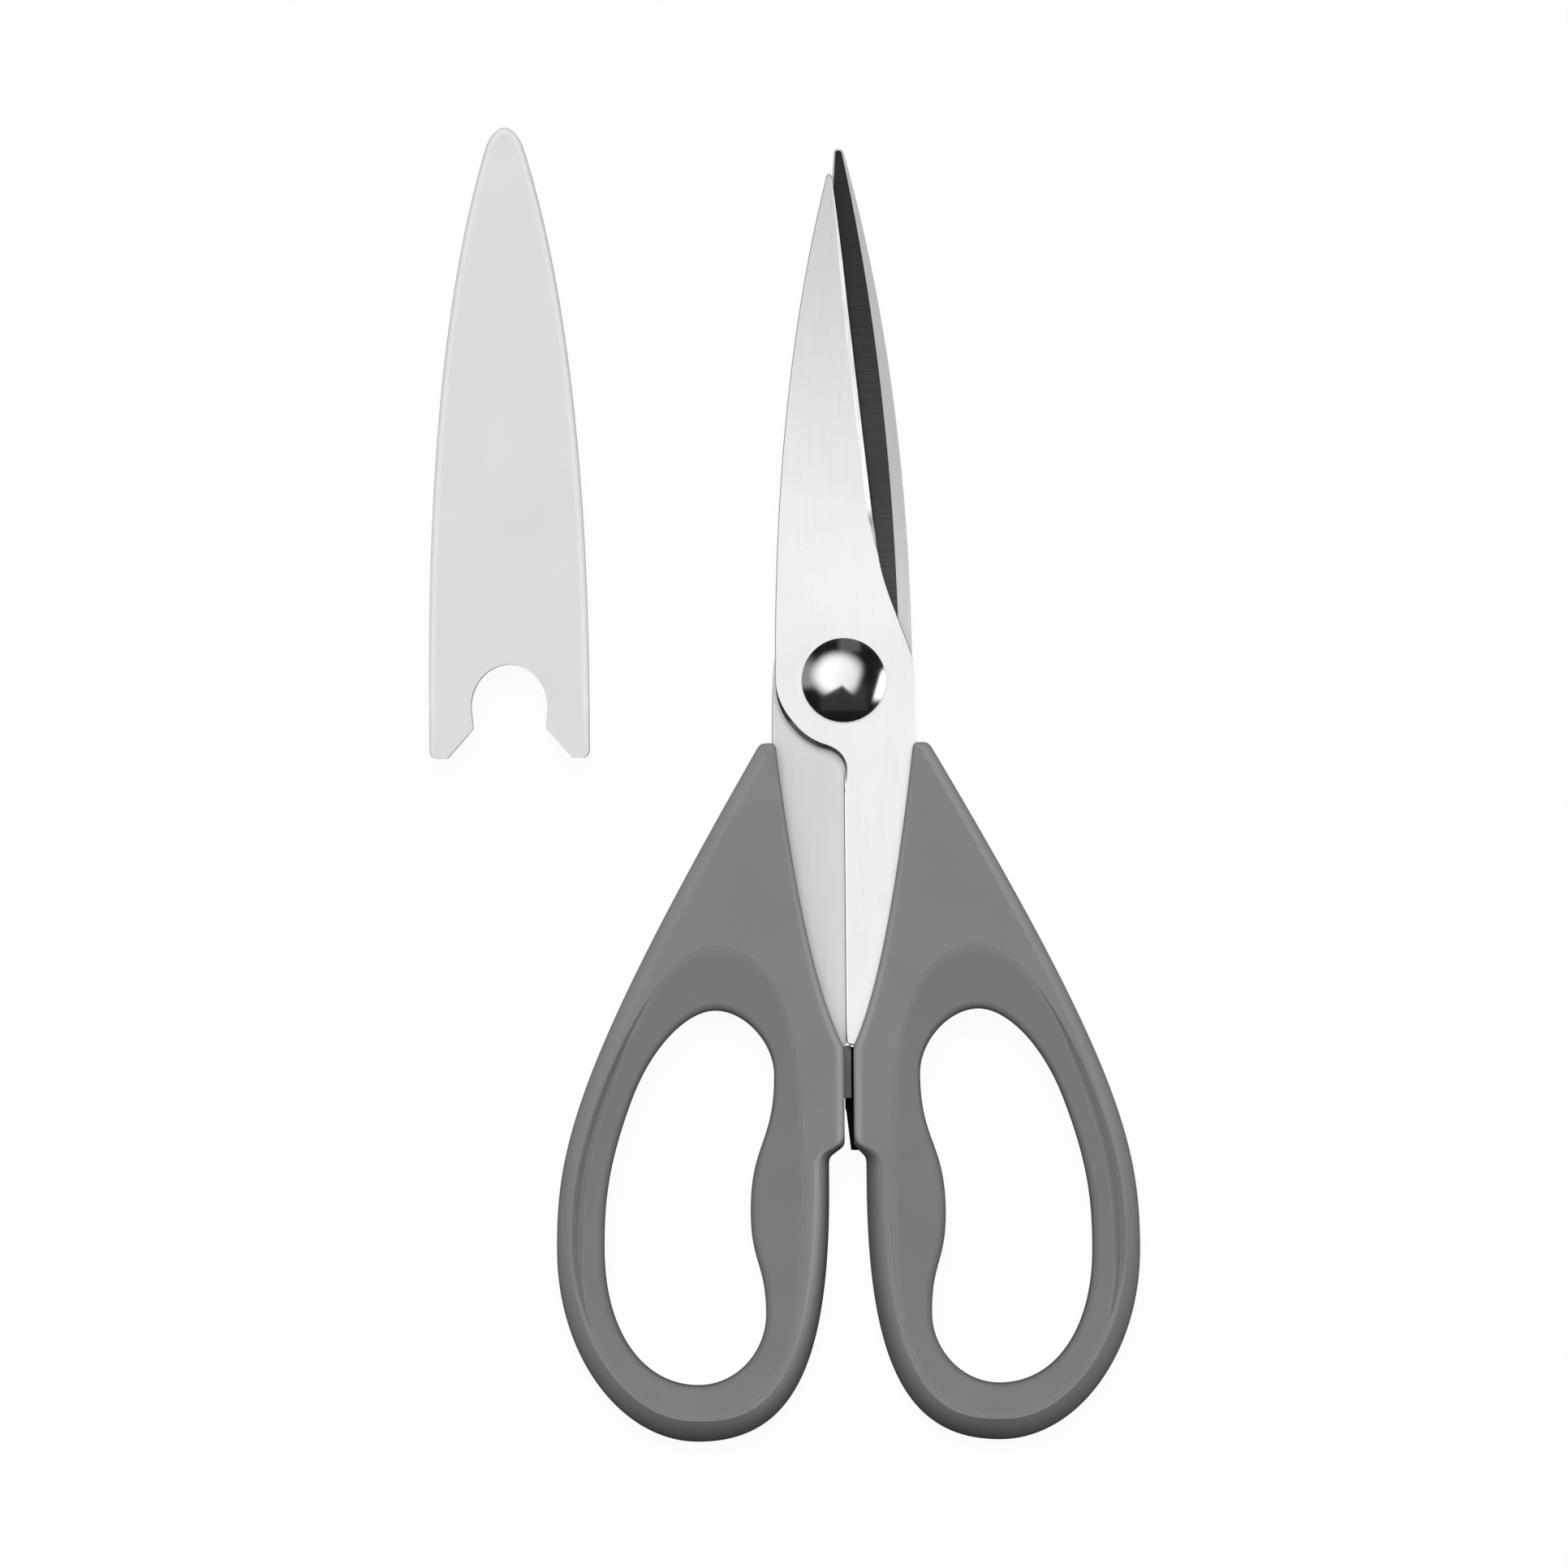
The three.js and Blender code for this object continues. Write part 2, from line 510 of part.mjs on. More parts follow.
function handleGeometry(reach, tipOffset, hasStopRib) {
  const half = HANDLE_THICKNESS / 2;
  const shape = handleShape();
  cutHole(shape, offsetOutline(gripOutline(), FIT_GAP));
  let handle = toSolid(roundedSlab(shape, -half, half, BOW_BEVEL));
  handle = handle.add(gripRib(0));
  handle = handle.subtract(tangPocket(reach, tipOffset));
  if (hasStopRib) {
    const left = FIT_GAP - STOP_HALF_GAP;
    const right = STOP_HALF_GAP + BOW_BEVEL;
    const rib = new THREE.BoxGeometry(right - left, STOP_RIB_LENGTH, STOP_RIB_DEPTH);
    rib.translate((left + right) / 2, -STOP_TOP - BOW_BEVEL - STOP_RIB_LENGTH / 2, 0);
    handle = handle.add(toSolid(rib));
  }
  return toGeometry(handle);
}

// A ring between two clockwise outlines of as many points. Its cross-section is a closed run of
// [share of the way from the first outline to the second, height] pairs.
function ringBetween(outer, inner, section) {
  const positions = [];
  const triangles = [];
  const rows = section.length;
  outer.forEach((start, i) => {
    for (const [share, height] of section) {
      const point = start.clone().lerp(inner[i], share);
      positions.push(point.x, point.y, height);
    }
    const next = (i + 1) % outer.length;
    for (let j = 0; j < rows; j += 1) {
      const above = (j + 1) % rows;
      triangles.push(i * rows + j, next * rows + above, next * rows + j);
      triangles.push(i * rows + j, i * rows + above, next * rows + above);
    }
  });
  const geometry = new THREE.BufferGeometry();
  geometry.setAttribute("position", new THREE.Float32BufferAttribute(positions, 3));
  geometry.setIndex(triangles);
  return geometry;
}

// The grip's faces slope in from the hard rim to the finger hole, with both edges rounded.
function gripGeometry() {
  const outerEdge = HANDLE_THICKNESS / 2 - GRIP_INSET;
  const innerEdge = outerEdge - GRIP_SCOOP;
  const face = [
    [0, outerEdge - GRIP_ROUND],
    [GRIP_EDGE_SHARE, outerEdge],
    [1 - GRIP_EDGE_SHARE, innerEdge],
    [1, innerEdge - GRIP_ROUND],
  ];
  const back = face.map(([share, height]) => [share, -height]).reverse();
  const grip = toSolid(ringBetween(gripOutline(), fingerHole(), [...face, ...back]));
  return toGeometry(grip.subtract(gripRib(FIT_GAP)));
}

// Pivot

function rivetGeometry() {
  const tail = CAP_FLOOR + RUNNING_GAP;
  const base = MID_Z + BLADE_OUTER_Z + RUNNING_GAP;
  const rise = DOME_HEIGHT - DOME_RIM;
  const sphere = (DOME_RADIUS ** 2 + rise ** 2) / (2 * rise);
  const spread = Math.asin(DOME_RADIUS / sphere);
  const profile = [
    [0, tail],
    [SHANK_RADIUS, tail],
    [SHANK_RADIUS, base],
    [DOME_RADIUS, base],
  ];
  for (let i = 0; i < DOME_STEPS; i += 1) {
    const angle = spread * (1 - i / DOME_STEPS);
    profile.push([sphere * Math.sin(angle), base + DOME_HEIGHT - sphere * (1 - Math.cos(angle))]);
  }
  profile.push([0, base + DOME_HEIGHT]);
  return turned(profile);
}

function capGeometry() {
  const radius = CAP_DIAMETER / 2;
  const bore = SHANK_RADIUS + RUNNING_GAP;
  return turned([
    [0, 0],
    [radius - CAP_CHAMFER, 0],
    [radius, CAP_CHAMFER],
    [radius, CAP_HEIGHT],
    [bore, CAP_HEIGHT],
    [bore, CAP_FLOOR],
    [0, CAP_FLOOR],
  ]);
}

function springGeometry() {
  const outer = BORE_RADIUS + SPRING_WIDTH;
  return turned([
    [BORE_RADIUS, SPRING_BOTTOM + SPRING_RISE],
    [outer, SPRING_BOTTOM],
    [outer, SPRING_BOTTOM + SPRING_THICKNESS],
    [BORE_RADIUS, SPRING_TOP],
    [BORE_RADIUS, SPRING_BOTTOM + SPRING_RISE],
  ]);
}

function spacerGeometry() {
  const half = SPACER_THICKNESS / 2;
  return turned([
    [BORE_RADIUS, MID_Z - half],
    [SPACER_RADIUS, MID_Z - half],
    [SPACER_RADIUS, MID_Z + half],
    [BORE_RADIUS, MID_Z + half],
    [BORE_RADIUS, MID_Z - half],
  ]);
}

// Sheath

// The cavity lies one wall inside the outline and runs out through the mouth.
function sheathGeometry() {
  const outer = roundedSlab(sheathShape(0, SHEATH_MOUTH), 0, SHEATH_THICKNESS, SHEATH_BEVEL);
  const cavityShape = sheathShape(SHEATH_WALL, SHEATH_MOUTH + FOOT_ROUND + CUT_MARGIN);
  const cavity = slab(cavityShape, SHEATH_WALL, SHEATH_WALL + SHEATH_CAVITY);
  const notch = slab(notchShape(), -CUT_MARGIN, SHEATH_THICKNESS + CUT_MARGIN);
  return toGeometry(toSolid(outer).subtract(toSolid(cavity)).subtract(toSolid(notch)));
}

// Materials

function material(color, roughness, metalness) {
  return new THREE.MeshStandardMaterial({ color, roughness, metalness });
}

const BRUSHED_STEEL = material(0xdcdcda, 0.38, 1);
const POLISHED_STEEL = material(0xc8c8c8, 0.12, 1);
const SPRING_STEEL = material(0x9a9a9c, 0.35, 1);
const NYLON = material(0xe6e4dc, 0.6, 0);
const HANDLE_GREY = material(0x818180, 0.55, 0);
const GRIP_GREY = material(0x7b7b7b, 0.75, 0);
const FROSTED_WHITE = material(0xdadbdc, 0.5, 0);

function piece(name, geometry, finish) {
  const mesh = new THREE.Mesh(geometry, finish);
  mesh.name = name;
  return mesh;
}

// Assembly

const pivot = new THREE.Group();
pivot.add(
  piece("pivot_rivet", rivetGeometry(), POLISHED_STEEL),
  piece("pivot_cap", capGeometry(), POLISHED_STEEL),
  piece("spring_washer", springGeometry(), SPRING_STEEL),
  piece("blade_spacer", spacerGeometry(), NYLON),
);

const frontHalf = new THREE.Group();
frontHalf.position.z = MID_Z;
frontHalf.add(
  piece("front_blade", bladeGeometry(FRONT_REACH, FRONT_TIP_OFFSET), BRUSHED_STEEL),
  piece("right_handle", handleGeometry(FRONT_REACH, FRONT_TIP_OFFSET, false), HANDLE_GREY),
  piece("right_grip", gripGeometry(), GRIP_GREY),
);

const backHalf = new THREE.Group();
backHalf.position.z = MID_Z;
backHalf.rotation.y = Math.PI;
backHalf.add(
  piece("back_blade", bladeGeometry(BACK_REACH, BACK_TIP_OFFSET), BRUSHED_STEEL),
  piece("left_handle", handleGeometry(BACK_REACH, BACK_TIP_OFFSET, true), HANDLE_GREY),
  piece("left_grip", gripGeometry(), GRIP_GREY),
);

const sheath = new THREE.Group();
sheath.position.set(-SHEATH_AWAY, -SHEATH_DROP, 0);
sheath.add(piece("blade_sheath", sheathGeometry(), FROSTED_WHITE));

const shears = new THREE.Group();
shears.add(pivot, frontHalf, backHalf, sheath);

export default shears;
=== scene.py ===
# Looks of the multipurpose kitchen shears: finer pieces over the frame, their finishes, light and camera.
# Outlines are drawn in millimetres in the front half's own frame, blade leaning left and handle on the
# right, with z = 0 between the blades. The back half is the same turned over about the Y axis.

import math

import bmesh
import bpy
from mathutils import Matrix, Vector
from mathutils.geometry import delaunay_2d_cdt


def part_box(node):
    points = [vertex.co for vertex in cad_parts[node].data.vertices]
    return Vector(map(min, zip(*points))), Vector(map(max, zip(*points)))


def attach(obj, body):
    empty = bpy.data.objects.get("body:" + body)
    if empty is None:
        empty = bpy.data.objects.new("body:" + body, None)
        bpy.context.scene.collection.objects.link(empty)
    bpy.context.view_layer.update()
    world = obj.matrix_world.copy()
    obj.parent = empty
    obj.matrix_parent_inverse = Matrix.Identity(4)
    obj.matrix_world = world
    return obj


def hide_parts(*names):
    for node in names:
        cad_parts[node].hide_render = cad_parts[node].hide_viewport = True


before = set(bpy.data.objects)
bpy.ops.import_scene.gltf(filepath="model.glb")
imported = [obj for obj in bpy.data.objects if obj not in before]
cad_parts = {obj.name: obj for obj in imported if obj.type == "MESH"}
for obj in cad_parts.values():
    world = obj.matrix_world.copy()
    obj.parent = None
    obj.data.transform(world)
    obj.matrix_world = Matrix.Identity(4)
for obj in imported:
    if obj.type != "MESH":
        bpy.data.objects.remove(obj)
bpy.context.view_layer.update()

MM = 0.001


def span(node):
    """A node's lowest and highest corners in millimetres."""
    low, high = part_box(node)
    return low / MM, high / MM


# Sizes taken from the frame
front_low, front_high = span("front_blade")
back_high = span("back_blade")[1]
handle_low, handle_high = span("right_handle")
grip_high = span("right_grip")[1]
rivet_low, rivet_high = span("pivot_rivet")
cap_low, cap_high = span("pivot_cap")
washer_low, washer_high = span("spring_washer")
spacer_low, spacer_high = span("blade_spacer")
sheath_low, sheath_high = span("blade_sheath")

MID_Z = (handle_low.z + handle_high.z) / 2
HANDLE_HALF = (handle_high.z - handle_low.z) / 2
HANDLE_REACH = -handle_low.y
HANDLE_HALF_SPAN = handle_high.x
HANDLE_RAISE = 0.5  # how far the handles' tops stand above the frame's
HANDLE_TOP = -handle_high.y - HANDLE_RAISE
BLADE_INNER_Z = front_low.z - MID_Z
BLADE_OUTER_Z = front_high.z - MID_Z
FRONT_REACH = front_high.y
BACK_REACH = back_high.y
BLADE_HALF_WIDTH = -front_low.x
DOME_RADIUS = rivet_high.x
CAP_RADIUS = cap_high.x
GRIP_TOP = -grip_high.y
SHEATH_AWAY = (sheath_low.x + sheath_high.x) / 2
SHEATH_HALF_WIDTH = (sheath_high.x - sheath_low.x) / 2
SHEATH_BOTTOM = sheath_low.y
SHEATH_TOP = sheath_high.y
SHEATH_THICKNESS = sheath_high.z - sheath_low.z

# Blades
FRONT_TIP = (-1.75, 0.7)  # middle and width
BACK_TIP = (0.15, 1.5)
FRONT_TIP_SHORT = 1.4  # how far below the frame's tip the front blade thins out to nothing
EDGE_TURN = (1.4, 64.5)  # where the front blade's edge starts to sweep towards its tip
EDGE_PULL = (0.24, 75.5)
SPINE_SWELL = 50
HEEL_HEIGHT = 22
HEEL_OFFSET = 6.05
HEEL_PULL = (6.6, 17)  # the curve from heel to choil is pulled towards these two places
CHOIL_PULL = (9.3, 11)
CHOIL_HEIGHT = 4
HOLLOW_DEPTH = 0.4
SPINE_LAND = 2.7
LOW_LAND = 2.2
EDGE_LAND = 0.9
TIP_LAND = 0.3
TIP_HOLLOW_SHARE = 1 / 3  # half the hollow's width at the tip, of the tip's
PIVOT_LAND_RADIUS = 13
TANG_HALF_WIDTH = 12.4
NECK_DROP = 4
SHOULDER_SWEEP = 70  # degrees
SHOULDER_FADE = 35  # degrees over which the shoulder's wide break narrows to the spine's
NECK_FADE = 2.5
SHOULDER_DROP = 0.7  # how far the shoulder's centre lies below the pivot
SEAM_HALF_GAP = 0
TANG_FIT = 0.3
TANG_EMBED = 5.2
TANG_COVER = 0.6
HANDLE_TOP_INNER = TANG_HALF_WIDTH - TANG_COVER
TANG_SHARES = (0.05, 0.5, 0.8)  # three places up the handle's edge
EDGE_FADE = 14  # length over which the ground cutting edge narrows to the tip
HEEL_FADE = 6  # length over which it narrows to the heel
# Width and drop of a blade's edges on its outer face, then on its mating face, and three sizes that a blade
# doesn't use
EDGE_BEVEL = (1.1, 1.95, 0.02, 0.02, 0, 0, 0)
TIP_BEVEL = (0.16, 0.3, 0.05, 0.05, 0, 0, 0)
HEEL_BEVEL = (0.12, 0.2, 0.02, 0.02, 0, 0, 0)
SPINE_BREAK = (0.2, 0.32, 0.15, 0.15, 0, 0, 0)
SHOULDER_BREAK = (1.05, 2, 0.1, 0.1, 0, 0, 0)
NECK_BREAK = (0.5, 1, 0.1, 0.1, 0, 0, 0)
SEAM_BREAK = (0.3, 0.05, 0.12, 0.12, 0, 0, 0)
BREAK_SHARES = (0.25, 0.3)  # where an edge on the outer face turns from steep to shallow
SEAT_RADIUS = 6.25
SEAT_DEPTH = 0.4

# Handles
HANDLE_TOP_WIDTH = 2.6
BOW_WIDEST = 97.5
BOW_LOWEST = 25.8
SIDE_LEAN = math.radians(30.3)
SIDE_RUN = 65
SIDE_ROUND = 17.2
EDGE_BEND = 7.2
EDGE_BEND_DROP = 50
STOP_TOP = 62.8
STOP_LENGTH = 17
STOP_BOTTOM = STOP_TOP + STOP_LENGTH
STOP_HALF_GAP = 1.1
BACK_STOP_GAP = 0.5
LEG_HALF_GAP = 3.2
LEG_STEP = 2
LEG_TOP = 86
STOP_RIB = (-0.75, 2.2, -71.6, -62.6)  # left, right, low and high sides
STOP_RIB_Z = (-0.3, 2)
# A ledge deep in the gap between the stops, finished near-black as painted shade
LEDGE_HIGH = -62.9
LEDGE_NECK = (0.2, -71.4)
LEDGE_HEAD = (-0.35, -73.4)
LEDGE_WAIST = (-0.15, -74)
LEDGE_FOOT = (0.6, -80.6)
LEDGE_Z = (-5.2, -4)
BLOCK_EDGE = (0.2, 0.2, 0.2, 0.2, 0, 0, 0)
HANDLE_CORNER = 0.55  # spread of the softened corners
# Width and drop of a handle's rounded edges on the front half's upper face, then on its lower face,
# how much of the drop is a straight lean, and the strength of the painted highlight on either face
TANG_SIDE_ROUND = (0.7, 0.8, 0.7, 0.8, 0, 0, 0)
TOP_ROUND = (1.4, 1.4, 2.1, 1.5, 0.6, 0.7, 0.3)
SIDE_EDGE = (2.3, 3, 2.3, 3, 0.5, 0, 0)
FRONT_BOW_ROUND = (3.8, 7, 3, 4, 0.5, 0, 0)
BACK_BOW_ROUND = (3, 4, 3.8, 7, 0.5, 0, 0)
FRONT_LEG_ROUND = (2.7, 9, 1.6, 2, 0.1, 0, 0)
BACK_LEG_ROUND = (1.6, 2, 2.2, 8.4, 0, 0, 0.9)
FRONT_STEP_ROUND = (1.3, 8.4, 1, 2, 0, 0, 0)
BACK_STEP_ROUND = (1, 2, 1.2, 8.4, 0, 0, 0)
STOP_ROUND = (0.9, 0.7, 0.9, 0.7, 0, 0.9, 1)
STEP_FADE = 0.8  # length over which the step's edge turns into the ones beside it

# Grips
RIM_SIDE = 3.5
RIM_FOOT = 4.1
LEG_RIM = 4
GRIP_PEAK = 22.5
GRIP_CROWN = 11
HOLE_SIDE = 8.1
HOLE_FOOT = 9.7
GRIP_LEG = 9.5
SWELL_HEIGHT = 91
UPPER_HOLLOW = 4.2
UPPER_HOLLOW_RISE = 23.6
LOWER_HOLLOW = 2.5
LOWER_HOLLOW_FALL = 17.3
GRIP_TILT = 0.12
GRIP_LIP = 1.8
GRIP_LIP_DROP = 1.9
SEAM_GAP = 0.01
GROOVE_WIDTH = 1
GROOVE_DEPTH = 1.1
GROOVE_LEAST = 0.02  # share of the groove left where the faces run flush
GROOVE_LEG = 0.25  # how far across from the leg to the side the groove starts
GROOVE_START = 6  # below the crown
GROOVE_FULL = 26
GROOVE_END = 97
GROOVE_FADE = 14
SEAM_BLEND = 0.16  # share of the grip's breadth over which it takes the handle's tone

# Pivot
SHANK_RADIUS = 3
SHANK_PLAY = 0.15
BORE_RADIUS = SHANK_RADIUS + SHANK_PLAY
DOME_RIM = 0.4
DOME_EDGE = 0.25
DOME_ROWS = 32
CAP_FLOOR = 0.8
CAP_CHAMFER = 0.5
WASHER_THICKNESS = 0.5
SMALL_BREAK = 0.08

# Sheath
SHEATH_WALL = 1.2
SHEATH_TIP_HALF_WIDTH = 3.2
SHEATH_TIP_ROUND = 3.4
SHEATH_SWELL = 62
SHEATH_MOUTH = 8.7
# The last two sizes of the sheath's edges set a painted highlight, paler lines along its edges
SHEATH_ROUND = (0.6, 0.5, 0.6, 0.5, 0.6, 1, 1)
TIP_EDGE = (0.8, 1.1, 0.8, 1.1, 0, 0.5, 0.5)
FOOT_EDGE = (0.5, 0.5, 0.5, 0.5, 0, 0.3, 0.3)
NOTCH_RADIUS = 6.55
NOTCH_RISE = 7.35
NOTCH_LIP = 6.2
NOTCH_LIP_DROP = 3.6
FOOT_WIDTH = 3
FOOT_ROUND = 1.3

# Fullness of the quarter turns: 0.55 is close to an arc
ARC_FULLNESS = 0.55
LEG_FULLNESS = 0.71
GRIP_CROWN_FULLNESS = 0.62
GRIP_LEG_FULLNESS = 0.68
HOLE_CROWN_FULLNESS = 0.58
HOLE_FOOT_FULLNESS = 0.6
HOLE_LEG_FULLNESS = 0.5
GRIP_CROWN_END = 0.4
HOLE_CROWN_END = 0.5

# Fineness
CURVE_STEPS = 48
SPACING = 0.45
GRIP_POINTS = 280
ROUND_POINTS = 96
ROUND_ROWS = 8
UNFOLD_PASSES = 60  # most passes that draw out a fold
SOFTEN_SHARE = 0.5  # variance added by one softening pass, in spacings
EDGE_PASSES = 6  # softening passes that ease the edge sizes
SHARP_ANGLE = math.radians(28)
FLAT_NORMAL = 0.99999  # a face whose normal is this upright counts as flat
PAINTED_SHEEN_WIDTH = 0.8  # how far an edge's painted highlight fades out over the face
MERGE_DISTANCE = 2e-6  # in metres
AXIS_RADIUS = 0.001  # the smallest loop of a turned piece
TINY = 1e-6
CDT_INSIDE = 1  # Blender's number for triangles inside the outline alone
NO_EDGE = (0, 0, 0, 0, 0, 0, 0)
# Where a point of an outline keeps the sizes of its edge, after x and y; the last two are painted highlight
# strengths
WIDTH, DROP, LOW_WIDTH, LOW_DROP, LEAN, PAINTED_SHEEN, LOW_PAINTED_SHEEN = range(2, 9)
# Which finish a face takes: of a blade, then of a handle
FACE, HOLLOW, MATING, EDGE = range(4)
# The second finish of a handle is near-black plastic, painted shade deep in the gap between the stops
PLAIN, PAINTED_SHADE = range(2)


# Outlines


class Pen:
    """Draws an outline as a fine run of points: x, y, then the sizes of its edge.

    Each run takes the edge sizes over from the run before, or changes them evenly to those it is given.
    """

    def __init__(self, x, y, edge=NO_EDGE):
        self.points = [Vector((x, y, *edge))]

    def line(self, x, y, edge=None):
        self.curve((self.points[-1].x, self.points[-1].y), (x, y), (x, y), edge)

    def curve(self, first, second, end, edge=None):
        """A cubic curve pulled towards two places."""
        start = self.points[-1]
        last = Vector((*end, *(edge or start[2:])))
        c1 = Vector((*first, *start.lerp(last, 1 / 3)[2:]))
        c2 = Vector((*second, *start.lerp(last, 2 / 3)[2:]))
        for i in range(1, CURVE_STEPS + 1):
            t = i / CURVE_STEPS
            u = 1 - t
            self.points.append(start * u**3 + c1 * (3 * u * u * t) + c2 * (3 * u * t * t) + last * t**3)

    def bend(self, x, y, end, edge=None):
        """A quadratic curve by way of (x, y)."""
        start = self.points[-1]
        first = (start.x + (x - start.x) * 2 / 3, start.y + (y - start.y) * 2 / 3)
        second = (end[0] + (x - end[0]) * 2 / 3, end[1] + (y - end[1]) * 2 / 3)
        self.curve(first, second, end, edge)

    def turn(self, corner, end, fullness=ARC_FULLNESS, edge=None):
        """A quarter turn by way of the corner where the two straight runs would meet."""
        start = self.points[-1]
        first = (start.x + (corner[0] - start.x) * fullness, start.y + (corner[1] - start.y) * fullness)
        second = (end[0] + (corner[0] - end[0]) * fullness, end[1] + (corner[1] - end[1]) * fullness)
        self.curve(first, second, end, edge)

    def sway(self, x, y):
        """Sideways to (x, y), running up or down at both ends."""
        start = self.points[-1]
        middle = (start.y + y) / 2
        self.curve((start.x, middle), (x, middle), (x, y))

    def arc(self, radius, start, end, edge=None, drop=0):
        """Between two angles round the origin, or a drop below it."""
        first = self.points[-1]
        for i in range(1, CURVE_STEPS + 1):
            share = i / CURVE_STEPS
            angle = start + (end - start) * share
            sizes = Vector(first[2:]).lerp(Vector(edge or first[2:]), share)
            self.points.append(Vector((radius * math.cos(angle), radius * math.sin(angle) - drop, *sizes)))


def area(points):
    """An outline's area, negative if it runs clockwise."""
    return sum(a.x * b.y - b.x * a.y for a, b in zip(points, points[1:] + points[:1])) / 2


def spaced(points, count=None):
    """A closed outline's points evenly spaced and run anticlockwise from the same start."""
    if area(points) < 0:
        points = points[:1] + points[:0:-1]
    closed = points + points[:1]
    reached = [0]
    for a, b in zip(closed, closed[1:]):
        reached.append(reached[-1] + (b.xy - a.xy).length)
    count = count or round(reached[-1] / SPACING)
    out, at = [], 0
    for i in range(count):
        goal = reached[-1] * i / count
        while reached[at + 1] < goal:
            at += 1
        step = reached[at + 1] - reached[at]
        out.append(closed[at].lerp(closed[at + 1], (goal - reached[at]) / step if step else 0))
    return out


def softened(points, spread):
    """An evenly spaced outline with its corners rounded, and its edge sizes eased into one another."""
    passes = round((spread / SPACING) ** 2 / SOFTEN_SHARE)
    for turn in range(max(passes, EDGE_PASSES)):
        after = points[1:] + points[:1]
        eased = [(points[i - 1] + points[i] * 2 + after[i]) / 4 for i in range(len(points))]
        if turn >= passes:
            eased = [Vector((*p.xy, *e[2:])) for p, e in zip(points, eased)]
        points = eased
    return points


def moved(points, distances):
    """An anticlockwise outline's points moved inwards by their own distances, with folds drawn out."""
    after = points[1:] + points[:1]
    out = []
    for i, point in enumerate(points):
        along = (after[i].xy - points[i - 1].xy).normalized()
        out.append(point.xy + Vector((-along.y, along.x)) * distances[i])
    for _ in range(UNFOLD_PASSES):
        following = out[1:] + out[:1]
        back = [(f - o).dot(a.xy - p.xy) < 0 for o, f, p, a in zip(out, following, points, after)]
        if not any(back):
            break
        between = [(out[i - 1] + following[i]) / 2 for i in range(len(out))]
        out = [between[i] if back[i] or back[i - 1] else spot for i, spot in enumerate(out)]
    return out


def circle(radius):
    """A circle round the origin."""
    steps = [2 * math.pi * i / ROUND_POINTS for i in range(ROUND_POINTS)]
    return [Vector((radius * math.cos(a), radius * math.sin(a))) for a in steps]


def inside(point, outline):
    """Whether a point lies inside a closed outline."""
    crossed = False
    for a, b in zip(outline, outline[1:] + outline[:1]):
        if (a.y > point.y) != (b.y > point.y):
            if point.x < a.x + (point.y - a.y) / (b.y - a.y) * (b.x - a.x):
                crossed = not crossed
    return crossed


# Meshes


class Build:
    """Collects loops of points and the faces between them, then makes a piece of them."""

    def __init__(self):
        self.points = []
        self.marks = []
        self.faces = []
        self.finishes = []

    def loop(self, points, heights, marks=None):
        """Adds a loop at one height or one for each point, and returns its points' numbers."""
        start = len(self.points)
        for i, point in enumerate(points):
            z = heights[i] if isinstance(heights, list) else heights
            self.points.append(Vector((point[0], point[1], z)))
        self.marks += marks or [0] * len(points)
        return list(range(start, len(self.points)))

    def face(self, corners, finish=0):
        self.faces.append(corners)
        self.finishes.append(finish)

    def band(self, lower, upper, finish=0):
        """Faces between two anticlockwise loops, looking outwards if upper is above lower."""
        count = len(lower)
        for i in range(count):
            j = (i + 1) % count
            self.face([lower[i], lower[j], upper[j], upper[i]], finish)

    def cap(self, loops, up, finish=0):
        """A flat face inside the first loop and outside the others."""
        ids = [i for loop in loops for i in loop]
        edges, start = [], 0
        for loop in loops:
            edges += [(start + i, start + (i + 1) % len(loop)) for i in range(len(loop))]
            start += len(loop)
        flat = [self.points[i].xy for i in ids]
        holes = [[self.points[i].xy for i in loop] for loop in loops[1:]]
        _, _, triangles, came_from, _, _ = delaunay_2d_cdt(flat, edges, [], CDT_INSIDE, TINY)
        for triangle in triangles:
            corners = [ids[came_from[i][0]] for i in triangle]
            middle = sum((self.points[i].xy for i in corners), Vector((0, 0))) / 3
            if not any(inside(middle, hole) for hole in holes):
                self.face(corners if up else corners[::-1], finish)

    def piece(self, name, body, node, slot, finishes, place):
        """Makes the piece in its place, riding on a body instead of its node."""
        mesh = bpy.data.meshes.new(name)
        mesh.from_pydata([place @ (p * MM) for p in self.points], [], self.faces)
        for finish in finishes:
            mesh.materials.append(finish)
        mesh.polygons.foreach_set("material_index", self.finishes)
        # The rim marks carry painted highlights on the handles' and the sheath's edges, and the grips' blend
        # into the handles' tone
        mesh.attributes.new("rim", "FLOAT", "POINT").data.foreach_set("value", self.marks)
        work = bmesh.new()
        work.from_mesh(mesh)
        bmesh.ops.remove_doubles(work, verts=work.verts, dist=MERGE_DISTANCE)
        bmesh.ops.dissolve_degenerate(work, edges=work.edges, dist=MERGE_DISTANCE)
        work.normal_update()
        for face in work.faces:
            face.smooth = True
        for edge in work.edges:
            flat = {abs(face.normal.z) > FLAT_NORMAL for face in edge.link_faces}
            edge.smooth = len(flat) == 1 and edge.calc_face_angle(0) < SHARP_ANGLE
        work.to_mesh(mesh)
        work.free()
        obj = bpy.data.objects.new(name, mesh)
        bpy.context.collection.objects.link(obj)
        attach(obj, body)
        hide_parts(node)
        return obj


